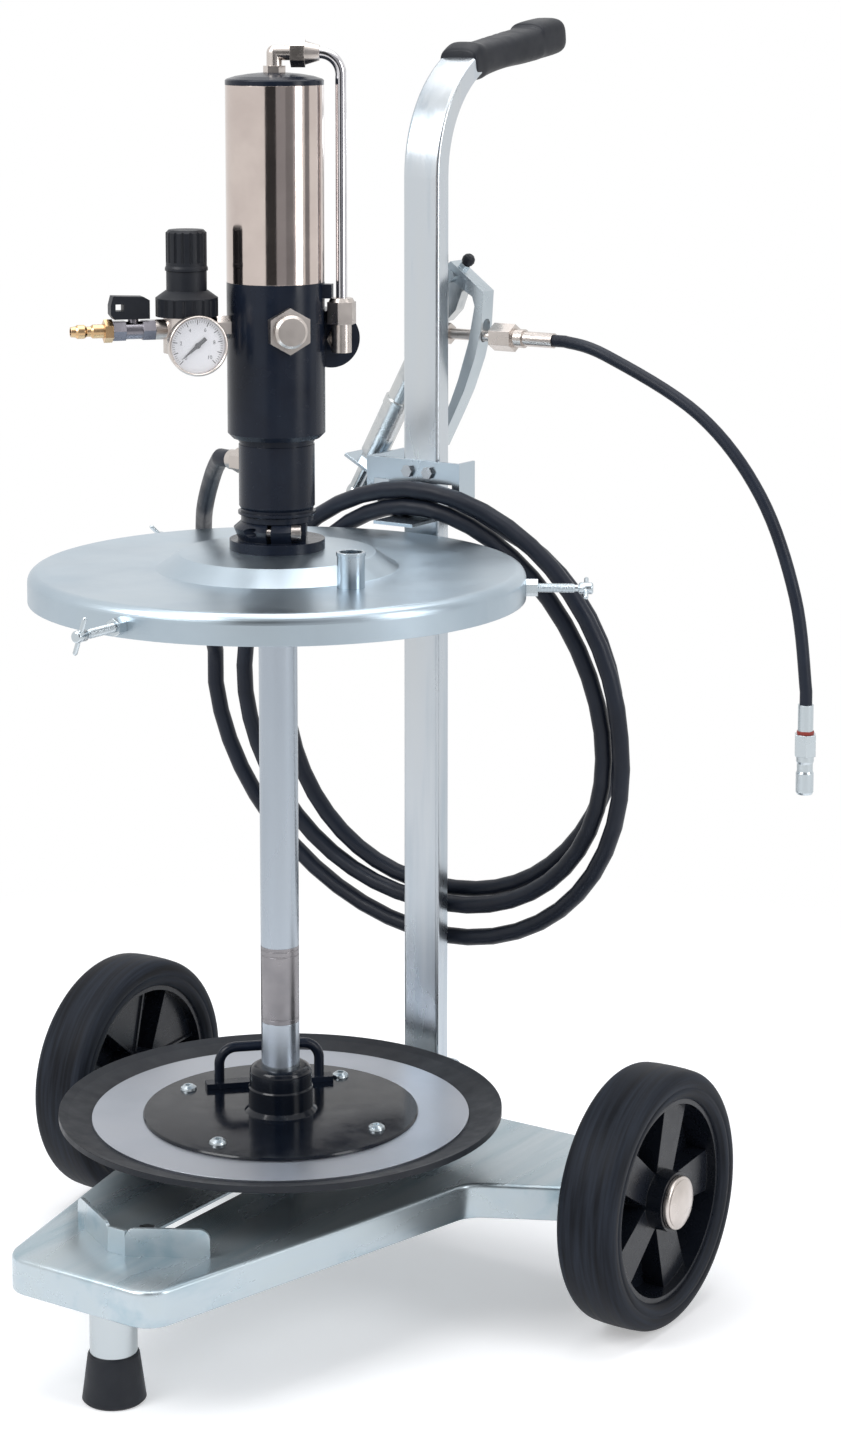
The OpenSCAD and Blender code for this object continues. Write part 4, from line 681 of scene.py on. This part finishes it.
def tray_outline(inset):
    side = (math.cos(math.radians(-FLARE)), math.sin(math.radians(-FLARE)))
    wing = (math.cos(math.radians(SWEEP - 90)), math.sin(math.radians(SWEEP - 90)))
    front = (
        (SIDE_OFFSET - FRONT_R - (TRAY_FRONT - FRONT_R) * math.sin(math.radians(FLARE)))
        / math.cos(math.radians(FLARE)),
        FRONT_R - TRAY_FRONT,
    )
    knee = crossing(side, SIDE_OFFSET + KNEE_R, wing, WING_OFFSET + KNEE_R)
    wing_x = WING_HALF - WING_R
    wing_centre = (wing_x, (wing_x * wing[0] - WING_OFFSET + WING_R) / -wing[1])
    rear = (WING_HALF - REAR_R, TRAY_REAR - REAR_R)
    half = arc_points(front, FRONT_R - inset, -90, -FLARE)
    half += arc_points(knee, -KNEE_R - inset, -FLARE, SWEEP - 90)
    half += arc_points(wing_centre, WING_R - inset, SWEEP - 90, 0)
    half += arc_points(rear, REAR_R - inset, 0, 90)
    return half + [(-x, y) for x, y in reversed(half)]


def slot_outline():
    radius = SLOT_W / 2
    front = arc_points((0, SLOT_FRONT), radius, 180, 360)
    back = arc_points((0, SLOT_BACK), radius, 0, 180)
    return front + back


def tray_levels():
    """(inset, height) of each ring, over the fold, round the skirt's edge and back inside."""
    foot = TRAY_TOP - TRAY_SKIRT
    under = TRAY_TOP - TRAY_SHEET
    inner_r = FOLD_R - TRAY_SHEET
    levels = []
    for i in range(FOLD_STEPS + 1):
        angle = math.radians(90 * i / FOLD_STEPS)
        levels.append((FOLD_R * (1 - math.sin(angle)), TRAY_TOP - FOLD_R * (1 - math.cos(angle))))
    levels += [(0, foot + EDGE_BEVEL), (EDGE_BEVEL, foot)]
    levels += [(TRAY_SHEET - EDGE_BEVEL, foot), (TRAY_SHEET, foot + EDGE_BEVEL)]
    for i in range(INNER_STEPS + 1):
        angle = math.radians(90 * i / INNER_STEPS)
        inset = TRAY_SHEET + inner_r * (1 - math.cos(angle))
        levels.append((inset, under - inner_r * (1 - math.sin(angle))))
    return levels


def make_tray():
    bm = bmesh.new()
    rings = []
    for inset, height in tray_levels():
        rings.append([bm.verts.new(pump(x, y, height)) for x, y in tray_outline(inset)])
    add_skin(bm, rings)
    slot_rings = []
    for ring, height in ((rings[0], TRAY_TOP), (rings[-1], TRAY_TOP - TRAY_SHEET)):
        slot = [bm.verts.new(pump(x, y, height)) for x, y in slot_outline()]
        slot_rings.append(slot)
        edges = []
        for loop in (ring, slot):
            for k, vert in enumerate(loop):
                pair = (vert, loop[(k + 1) % len(loop)])
                edges.append(bm.edges.get(pair) or bm.edges.new(pair))
        bmesh.ops.triangle_fill(bm, use_beauty=True, edges=edges)
    add_skin(bm, slot_rings)
    sealed_mesh("tray_sheet", bm, "trolley", "tray", ["tray"])


make_tray()


# Joint plate behind the tray: a bare plate, low enough to stay behind the follower
JOINT_PLATE = 3
PLATE_W = 92
PLATE_H = 75
PLATE_CORNER = 8


def make_joint_plate():
    foot = TRAY_TOP - TRAY_SKIRT
    half = PLATE_W / 2 - PLATE_CORNER
    outline = arc_points((half, foot + PLATE_CORNER), PLATE_CORNER, -90, 0)
    outline += arc_points((half, foot + PLATE_H - PLATE_CORNER), PLATE_CORNER, 0, 90)
    outline += [(-x, z) for x, z in reversed(outline)]
    bm = bmesh.new()
    faces = []
    for depth in (0, JOINT_PLATE):
        faces.append([bm.verts.new(pump(x, TRAY_REAR + depth, z)) for x, z in outline])
    near, far = faces
    bm.faces.new(near)
    bm.faces.new(list(reversed(far)))
    add_skin(bm, faces)
    sealed_mesh("joint_plate", bm, "trolley", "zinc", ["column_plate"])


make_joint_plate()


# Wheels: a tyre with a crowned tread and moulded rings, and a domed nickel cap
TYRE_W = 56
RIM_D = 176
TRACK = 573
HUB_W = 66
SHOULDER_R = 10
SHOULDER_END = 8
CROWN = 0.8
# Place across the tread, as a share of its half width, where it lies a little below the middle
TREAD_SHARE = 0.42
TREAD_DROP = 0.25
# Steps of the tyre's side: distance out from the rim's seat and in from the tyre's face
TYRE_SIDE = [
    (0, 4.5), (0.6, 3.4), (2.2, 2.2), (3.4, 1.0), (5.0, 0.4),
    (7.0, 0), (9.2, 0), (9.7, 0.5), (10.4, 0.5), (10.9, 0),
]
CAP_D = 46.5
CAP_DEPTH = 5
CAP_DOME = 5.5
CAP_BORE_R = 6.2
CAP_DOME_R = 48
CAP_DOME_START = 64.5
# Steps of the cap's side: distance in from its rim and up from its foot
CAP_SIDE = [(0.6, 0), (0, 0.6), (0, 3.6), (0.5, 4.6), (1.6, 5.2), (3.0, 5.4)]
WHEELS = {"right": 1, "left": -1}


def tyre_profile():
    half = TYRE_W / 2
    seat = RIM_D / 2
    outer = TYRE_D / 2
    side = [(seat + out, half - back) for out, back in TYRE_SIDE]
    shoulder = (outer - CROWN - SHOULDER_R, half - SHOULDER_R)
    rounding = arc_points(shoulder, SHOULDER_R, 90, SHOULDER_END, steps=9)
    tread = [(outer - TREAD_DROP, half * TREAD_SHARE), (outer, 0)]
    one = side + rounding + tread
    other = [(radius, -height) for radius, height in reversed(one[:-1])]
    return one + other + [one[0]]


def cap_profile():
    foot = HUB_W / 2 - CAP_DEPTH
    top = foot + CAP_DEPTH + CAP_DOME
    side = [(CAP_D / 2 - back, foot + up) for back, up in CAP_SIDE]
    dome = arc_points((0, top - CAP_DOME_R), CAP_DOME_R, CAP_DOME_START, 90, steps=10)
    return [(CAP_BORE_R, foot)] + side + dome[:-1] + [(0, top)]


def make_wheel(side):
    sign = WHEELS[side]
    place = facing(Vector((sign, 0, 0)), pump(sign * TRACK / 2, AXLE_BACK, TYRE_D / 2))
    body = "wheel_" + side
    bm = bmesh.new()
    add_lathe(bm, tyre_profile(), place, segments=144)
    tyre = "tyre_" + side
    sealed_mesh("tyre_body_" + side, bm, body, "tyre", [tyre], sharp=50)
    bm = bmesh.new()
    add_lathe(bm, cap_profile(), place, segments=72)
    cap = "hub_cap_" + side
    sealed_mesh("hub_dome_" + side, bm, body, "nickel", [cap], sharp=40)


for wheel in WHEELS:
    make_wheel(wheel)


# Handle grip: a loft whose sections follow its top and bottom curves
GRIP_RISE = 8
GRIP_START = Vector((0, 294.67, 1081.51))
GRIP_STATIONS = [
    # along, middle height, half height, half width
    (-12, 0.2, 11.5, 19.0),
    (-10, 0.4, 14.0, 20.0),
    (-2, 1.0, 17.2, 20.0),
    (4, 0.4, 17.6, 20.0),
    (14, 0.0, 15.6, 19.6),
    (30, 0.2, 14.6, 19.2),
    (52, 0.6, 14.6, 19.4),
    (80, 0.2, 15.4, 19.8),
    (102, 0.0, 15.6, 20.0),
    (107, 0.8, 16.4, 20.0),
    (112, 2.0, 17.5, 20.0),
    (136, 2.0, 17.5, 20.0),
    (146, 2.0, 16.5, 19.2),
    (150, 2.0, 13.6, 16.5),
    (152, 2.0, 9.0, 12.0),
]
GRIP_STEPS = 6
GRIP_SQUARENESS = 3.2
SECTION_POINTS = 48
GROOVES_START = 50
GROOVES_END = 96
GROOVE_PITCH = 7.6
GROOVE_DEPTH = 0.55
# Share of a section's half height above which it is grooved
GROOVE_FROM = 0.6


def superellipse(half_w, half_h):
    found = []
    power = 2 / GRIP_SQUARENESS
    for k in range(SECTION_POINTS):
        angle = math.tau * k / SECTION_POINTS
        c = math.cos(angle)
        s = math.sin(angle)
        x = half_w * math.copysign(abs(c) ** power, c)
        z = half_h * math.copysign(abs(s) ** power, s)
        found.append((x, z))
    return found


def groove_depth(reach):
    if not GROOVES_START <= reach <= GROOVES_END:
        return 0
    return GROOVE_DEPTH * max(0, math.sin((reach - GROOVES_START) * math.tau / GROOVE_PITCH))


def make_grip():
    bm = bmesh.new()
    rise = math.radians(GRIP_RISE)
    along = Vector((0, math.cos(rise), math.sin(rise)))
    up = Vector((0, -math.sin(rise), math.cos(rise)))
    stations = [Vector(station) for station in GRIP_STATIONS]
    rings = []
    for reach, height, half_h, half_w in spline_points(stations, GRIP_STEPS):
        groove = groove_depth(reach)
        ring = []
        for x, z in superellipse(half_w, half_h):
            dip = groove if z > half_h * GROOVE_FROM else 0
            place = GRIP_START + along * reach + up * (height + z - dip)
            ring.append(bm.verts.new(pump(x, place.y, place.z)))
        rings.append(ring)
    add_skin(bm, rings)
    bm.faces.new(rings[0])
    bm.faces.new(list(reversed(rings[-1])))
    sealed_mesh(
        "grip_moulding", bm, "trolley", "plastic", ["handle_grip"], sharp=60
    )


make_grip()


# Gauge: its cup, raised scale marks, plain numbers and a glass
AIR_ANGLE = 231
AIR_Z = 866
REGULATOR_OUT = 77
GAUGE_BACK = 26.6
GAUGE_DROP = 10.5
GAUGE_D = 50.5
GAUGE_DEPTH = 16
DIAL_BACK = 4.5
BEZEL = 2
GAUGE_WALL = 1.2
GAUGE_R = GAUGE_D / 2
DIAL_R = (GAUGE_D - BEZEL) / 2 - GAUGE_WALL
DIAL_FRONT = GAUGE_DEPTH - DIAL_BACK
SWEEP_START = 225
SWEEP_TURN = 270
SCALE_STEPS = 10
MARKS_PER_STEP = 5
MARKS = SCALE_STEPS * MARKS_PER_STEP
MARK_END = 0.93
MARK_HEIGHT = 0.12
# Share of the dial's radius and half width in millimetres of the long and the short marks
LONG_MARK = (0.17, 0.34)
SHORT_MARK = (0.09, 0.16)
BOX_FACES = [
    (0, 1, 2, 3), (4, 5, 6, 7), (0, 1, 5, 4), (1, 2, 6, 5), (2, 3, 7, 6), (3, 0, 4, 7)
]
NUMBER_SIZE = 4.4
NUMBER_PLACE = 0.62
NUMBER_LIFT = 0.06
NUMBER_EXTRUDE = 0.00005
# Steps of the cup's back, in from its rim and up from its back, and of its rim, down from its top
CUP_BACK = [(3.5, 0), (1.6, 1.4), (1.0, 3)]
CUP_RIM = [(1.0, 4), (0.3, 3.8), (0, 3.4), (0, 1.6)]
CUP_ROUND = 1.6
# Steps of the cup's lip, out from the dial and down from the cup's top
CUP_LIP = [(0.5, 0.1), (0, 0.6)]
GLASS_GAP = 0.05
# Steps of the glass, as a share of its radius and down from the cup's top
GLASS_STEPS = [(0, 2.2), (1, 2.4), (1, 1.2), (0.6, 0.75), (0, 0.6)]
GAUGE_NORMAL = turned(AIR_ANGLE + 90)
GAUGE_SIDE = turned(AIR_ANGLE + 180)
GAUGE_FOOT = pump(
    *(turned(AIR_ANGLE) * REGULATOR_OUT + GAUGE_NORMAL * GAUGE_BACK).xy, AIR_Z - GAUGE_DROP
)


def gauge_point(x, y, z):
    """x to the viewer's right, y up, z out of the dial, in millimetres from the cup's back."""
    return GAUGE_FOOT + (GAUGE_SIDE * x + Vector((0, 0, y)) + GAUGE_NORMAL * z) * MM


def gauge_matrix(z):
    turn = Matrix((GAUGE_SIDE, Vector((0, 0, 1)), GAUGE_NORMAL)).transposed().to_4x4()
    return Matrix.Translation(gauge_point(0, 0, z)) @ turn


def scale_direction(share):
    """Direction from the dial's middle to a share of its scale."""
    angle = math.radians(SWEEP_START - SWEEP_TURN * share)
    return Vector((math.cos(angle), math.sin(angle), 0))


def make_dial_marks():
    bm = bmesh.new()
    for i in range(MARKS + 1):
        out = scale_direction(i / MARKS)
        side = Vector((-out.y, out.x, 0))
        share, half = SHORT_MARK if i % MARKS_PER_STEP else LONG_MARK
        far = DIAL_R * MARK_END
        near = far - DIAL_R * share
        corners = []
        for z in (DIAL_FRONT, DIAL_FRONT + MARK_HEIGHT):
            for along, across in ((far, half), (far, -half), (near, -half), (near, half)):
                flat = out * along + side * across
                corners.append(bm.verts.new(gauge_point(flat.x, flat.y, z)))
        for face in BOX_FACES:
            bm.faces.new([corners[k] for k in face])
    sealed_mesh("dial_marks", bm, "trolley", "ink")


def make_numbers():
    plane = gauge_matrix(DIAL_FRONT + NUMBER_LIFT)
    for i in range(0, SCALE_STEPS + 1, 2):
        data = bpy.data.curves.new("dial_number", "FONT")
        data.body = str(i)
        data.size = NUMBER_SIZE * MM
        data.align_x = "CENTER"
        data.align_y = "CENTER"
        data.extrude = NUMBER_EXTRUDE
        text = new_object("dial_number_%d" % i, data)
        out = scale_direction(i / SCALE_STEPS) * DIAL_R * NUMBER_PLACE * MM
        text.matrix_world = plane @ Matrix.Translation(out)
        paint(text, "ink")
        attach(text, "trolley")


def make_gauge_cup():
    top = GAUGE_DEPTH
    place = gauge_matrix(0)
    bm = bmesh.new()
    profile = [(0, 0)]
    profile += [(GAUGE_R - back, up) for back, up in CUP_BACK]
    profile += [(GAUGE_R - back, top - down) for back, down in CUP_RIM]
    profile += arc_points((GAUGE_R - CUP_ROUND, top - CUP_ROUND), CUP_ROUND, 0, 90, steps=6)
    profile += [(DIAL_R + out, top - down) for out, down in CUP_LIP]
    profile += [(DIAL_R, GAUGE_WALL), (0, GAUGE_WALL)]
    add_lathe(bm, profile, place)
    sealed_mesh("gauge_cup", bm, "trolley", "nickel", ["gauge_case"], sharp=30)
    bm = bmesh.new()
    glass = DIAL_R - GLASS_GAP
    profile = [(glass * share, top - down) for share, down in GLASS_STEPS]
    add_lathe(bm, profile, place, segments=72)
    sealed_mesh("gauge_glass", bm, "trolley", "glass", sharp=60)


make_dial_marks()
make_numbers()
make_gauge_cup()


# Cover screws: a cut thread, a turned head and a sliding bar with rounded ends
LID_D = 425
LID_SCREW_Z = 643.5
SCREW_D = 8
SCREW_IN = 12
SCREW_OUT = 45
SCREW_PITCH = 1.25
SCREW_HEAD_D = 10
SCREW_HEAD_H = 12
# Where the thread ends below the head, its depth, its flanks' steepness and its mesh
THREAD_GAP = 4
THREAD_DEPTH = 0.55
THREAD_FLANK = 1.4
THREAD_SIDES = 20
THREAD_STEPS = 8
# The neck between thread and head, with its ends' distances below the head
NECK_R = 2.9
NECK_FOOT = 4.5
NECK_TOP = 0.5
HEAD_BEVEL = 0.8
HEAD_ROUND = 2
BAR_D = 4
BAR_LENGTH = 34
# Degrees of the arc that rounds each end of the bar
BAR_ROUND = 80
# Each screw's direction in plan and its bar's turn, in degrees
LID_SCREWS = {"front": (270, 70), "right": (30, 20), "left": (150, 45)}


def add_thread(bm, place, radius, pitch, start, end):
    """A closed rod with a helical thread along the local Z, in millimetres."""
    count = int((end - start) / pitch * THREAD_STEPS)
    rings = []
    for i in range(count + 1):
        height = start + (end - start) * i / count
        taper = min(1, (i + 1) / THREAD_STEPS, (count + 1 - i) / THREAD_STEPS)
        ring = []
        for k in range(THREAD_SIDES):
            phase = (height / pitch - k / THREAD_SIDES) % 1
            ridge = min(1, THREAD_FLANK * (1 - abs(2 * phase - 1)))
            r = radius - THREAD_DEPTH * (1 - ridge) * taper - THREAD_DEPTH * (1 - taper)
            angle = math.tau * k / THREAD_SIDES
            point = Vector((r * math.cos(angle), r * math.sin(angle), height)) * MM
            ring.append(bm.verts.new(place @ point))
        rings.append(ring)
    add_skin(bm, rings)
    bm.faces.new(list(reversed(rings[0])))
    bm.faces.new(rings[-1])


def screw_head_profile():
    half = SCREW_HEAD_D / 2
    top = SCREW_OUT + SCREW_HEAD_H
    foot = SCREW_OUT - NECK_FOOT
    profile = [(0, foot), (NECK_R, foot), (NECK_R, SCREW_OUT - NECK_TOP)]
    profile += [(half - HEAD_BEVEL, SCREW_OUT), (half, SCREW_OUT + HEAD_BEVEL)]
    profile += [(half, top - HEAD_ROUND)]
    profile += arc_points((half - HEAD_ROUND, top - HEAD_ROUND), HEAD_ROUND, 0, 90, steps=5)
    return profile + [(0, top)]


def screw_bar_profile():
    end = BAR_LENGTH / 2
    r = BAR_D / 2
    profile = [(0, -end)]
    profile += [(x, -end + r - z) for x, z in arc_points((0, 0), r, BAR_ROUND, 0, steps=4)]
    profile += [(x, end - r + z) for x, z in arc_points((0, 0), r, 0, BAR_ROUND, steps=4)]
    return profile + [(0, end)]


def make_lid_screw(name, angle, bar_turn):
    out = turned(angle)
    side = turned(angle + 90)
    root = pump(*(out * LID_D / 2).xy, LID_SCREW_Z)
    place = facing(out, root)
    bm = bmesh.new()
    add_thread(bm, place, SCREW_D / 2, SCREW_PITCH, -SCREW_IN, SCREW_OUT - THREAD_GAP)
    add_lathe(bm, screw_head_profile(), place, segments=32)
    turn = math.radians(bar_turn)
    bar = side * math.cos(turn) + Vector((0, 0, math.sin(turn)))
    centre = root + out * (SCREW_OUT + SCREW_HEAD_H / 2) * MM
    add_lathe(bm, screw_bar_profile(), facing(bar, centre), segments=20)
    sealed_mesh(
        "cover_screw_" + name + "_cut", bm, "cover_screw_" + name, "zinc_small",
        ["lid_screw_" + name], sharp=50
    )


for name, (angle, bar_turn) in LID_SCREWS.items():
    make_lid_screw(name, angle, bar_turn)


# Coupler on the whip hose: a thin red sealing ring in the groove below its crimp
RING_D = 15.4
RING_H = 3
RING_WALL = 2
RING_BEVEL = 0.4
# Height of the ring as a share of the coupler's
RING_SHARE = 0.69


def make_coupler_ring():
    low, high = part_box("whip_coupler")
    centre = middle("whip_coupler")
    height = low[2] + (high[2] - low[2]) * RING_SHARE
    outer = RING_D / 2
    half = RING_H / 2
    bm = bmesh.new()
    profile = [(outer - RING_WALL, -half), (outer - RING_BEVEL, -half), (outer, 0)]
    profile += [(outer - RING_BEVEL, half), (outer - RING_WALL, half)]
    profile += [(outer - RING_WALL, -half)]
    place = Matrix.Translation((centre.x, centre.y, height))
    add_lathe(bm, profile, place, segments=40)
    sealed_mesh("coupler_ring", bm, "trolley", "seal_red")


make_coupler_ring()


# Floor and world, both white for what the camera and the metal see
BACKGROUND = (1, 1, 1, 1)
FLOOR_REACH = 12
FLOOR_COLOUR = (0.86, 0.86, 0.87, 1)
FLOOR_ROUGHNESS = 0.9
FLOOR_GLOSS = 0.1
FLOOR_GLOW = 0.36
# Distances in metres at which the floor starts and ends its fade from shadow to plain white
SHADOW_REACH = 0.7
WHITE_REACH = 1.3
WORLD_COLOUR = (0.80, 0.83, 0.88, 1)
WORLD_LEVEL = 0.45


def maths(tree, operation, first, second):
    """A maths node fed by a socket and by another socket or a number."""
    node = tree.nodes.new("ShaderNodeMath")
    node.operation = operation
    tree.links.new(first, node.inputs[0])
    if isinstance(second, float):
        node.inputs[1].default_value = second
    else:
        tree.links.new(second, node.inputs[1])
    return node.outputs[0]


def mix_into(tree, share, first, second, output):
    """Mixes two shaders by a share, into the tree's output."""
    mix = tree.nodes.new("ShaderNodeMixShader")
    tree.links.new(share, mix.inputs["Fac"])
    tree.links.new(first.outputs[0], mix.inputs[1])
    tree.links.new(second.outputs[0], mix.inputs[2])
    tree.links.new(mix.outputs[0], tree.nodes[output].inputs["Surface"])


def light_path_mask(tree):
    """1 for rays that should see the plain background: camera, glossy and transmission rays."""
    rays = tree.nodes.new("ShaderNodeLightPath").outputs
    seen = maths(tree, "MAXIMUM", rays["Is Camera Ray"], rays["Is Glossy Ray"])
    return maths(tree, "MAXIMUM", seen, rays["Is Transmission Ray"])


def make_floor():
    """White for what the camera and the metal see, with the object's shadow near its middle."""
    bpy.ops.mesh.primitive_plane_add(size=2 * FLOOR_REACH)
    floor = bpy.context.object
    floor.name = "studio_floor"
    made = new_material("studio_floor")
    tree = made.node_tree
    shaded = tree.nodes["Principled BSDF"]
    shaded.inputs["Base Color"].default_value = FLOOR_COLOUR
    shaded.inputs["Roughness"].default_value = FLOOR_ROUGHNESS
    shaded.inputs["Specular IOR Level"].default_value = FLOOR_GLOSS
    shaded.inputs["Emission Color"].default_value = BACKGROUND
    mask = light_path_mask(tree)
    glow = maths(tree, "MULTIPLY", mask, FLOOR_GLOW)
    tree.links.new(glow, shaded.inputs["Emission Strength"])
    place = tree.nodes.new("ShaderNodeTexCoord")
    distance = tree.nodes.new("ShaderNodeVectorMath")
    distance.operation = "LENGTH"
    tree.links.new(place.outputs["Object"], distance.inputs[0])
    fade = tree.nodes.new("ShaderNodeMapRange")
    fade.interpolation_type = "SMOOTHSTEP"
    fade.inputs["From Min"].default_value = SHADOW_REACH
    fade.inputs["From Max"].default_value = WHITE_REACH
    tree.links.new(distance.outputs["Value"], fade.inputs["Value"])
    share = maths(tree, "MULTIPLY", fade.outputs["Result"], mask)
    plain = tree.nodes.new("ShaderNodeEmission")
    plain.inputs["Color"].default_value = BACKGROUND
    mix_into(tree, share, shaded, plain, "Material Output")
    floor.data.materials.append(made)


def make_world():
    world = bpy.data.worlds.new("studio")
    bpy.context.scene.world = world
    world.use_nodes = True
    tree = world.node_tree
    light = tree.nodes["Background"]
    light.inputs["Color"].default_value = WORLD_COLOUR
    light.inputs["Strength"].default_value = WORLD_LEVEL
    shown = tree.nodes.new("ShaderNodeBackground")
    shown.inputs["Color"].default_value = BACKGROUND
    mix_into(tree, light_path_mask(tree), light, shown, "World Output")


make_floor()
make_world()


# Cards: grey strips round the studio that give the bright metal its bands
CARD_STEPS = 12
CARD_BLUE = 1.05
CARDS = {
    # first and last azimuth, grey level, distance and heights of foot and top in millimetres
    "card_dark": (-76, -51, 0.05, 1700, 560, 2300),
    "card_light_grey": (-51, -29, 0.38, 1700, 560, 2300),
    "card_grey": (-29, -11, 0.26, 1700, 560, 2300),
    "card_edge": (-11, -5, 0.48, 1700, 560, 2300),
    "card_narrow": (19, 33, 0.29, 1700, 560, 2300),
    "card_low": (110, 144, 0.1, 900, 535, 640),
}


def make_card(name, start, end, level, reach, foot, top):
    """A curved grey card that only reflections see, from one azimuth to another."""
    bm = bmesh.new()
    columns = []
    for i in range(CARD_STEPS + 1):
        out = turned(start + (end - start) * i / CARD_STEPS) * reach
        columns.append([bm.verts.new(pump(out.x, out.y, z)) for z in (foot, top)])
    for near, far in zip(columns, columns[1:]):
        bm.faces.new([near[0], far[0], far[1], near[1]])
    mesh = bpy.data.meshes.new(name)
    bm.to_mesh(mesh)
    bm.free()
    card = new_object(name, mesh)
    made = new_material(name)
    tree = made.node_tree
    grey = tree.nodes.new("ShaderNodeEmission")
    grey.inputs["Color"].default_value = (level, level, level * CARD_BLUE, 1)
    tree.links.new(grey.outputs[0], tree.nodes["Material Output"].inputs["Surface"])
    mesh.materials.append(made)
    card.visible_camera = False
    card.visible_diffuse = False
    card.visible_shadow = False


for name, values in CARDS.items():
    make_card(name, *values)


# Lamps, all aimed at the pump's middle
LAMP_AIM = pump(0, 0, 600)
SOFTBOXES = {
    # place, width and height in metres, power in watts
    "key": (pump(-900, -2200, 2600), (1.6, 1.6), 60),
    "fill": (pump(2600, 60, 1500), (1.0, 2.0), 28),
    "top": (pump(0, 300, 3000), (2.4, 2.4), 40),
}


def softbox(name, place, size, power):
    data = bpy.data.lights.new(name, "AREA")
    data.shape = "RECTANGLE"
    data.size, data.size_y = size
    data.energy = power
    lamp = new_object(name, data)
    lamp.location = place
    lamp.rotation_euler = (LAMP_AIM - lamp.location).to_track_quat("-Z", "Y").to_euler()


for name, values in SOFTBOXES.items():
    softbox(name, *values)

view = bpy.context.scene.view_settings
view.view_transform = "Standard"
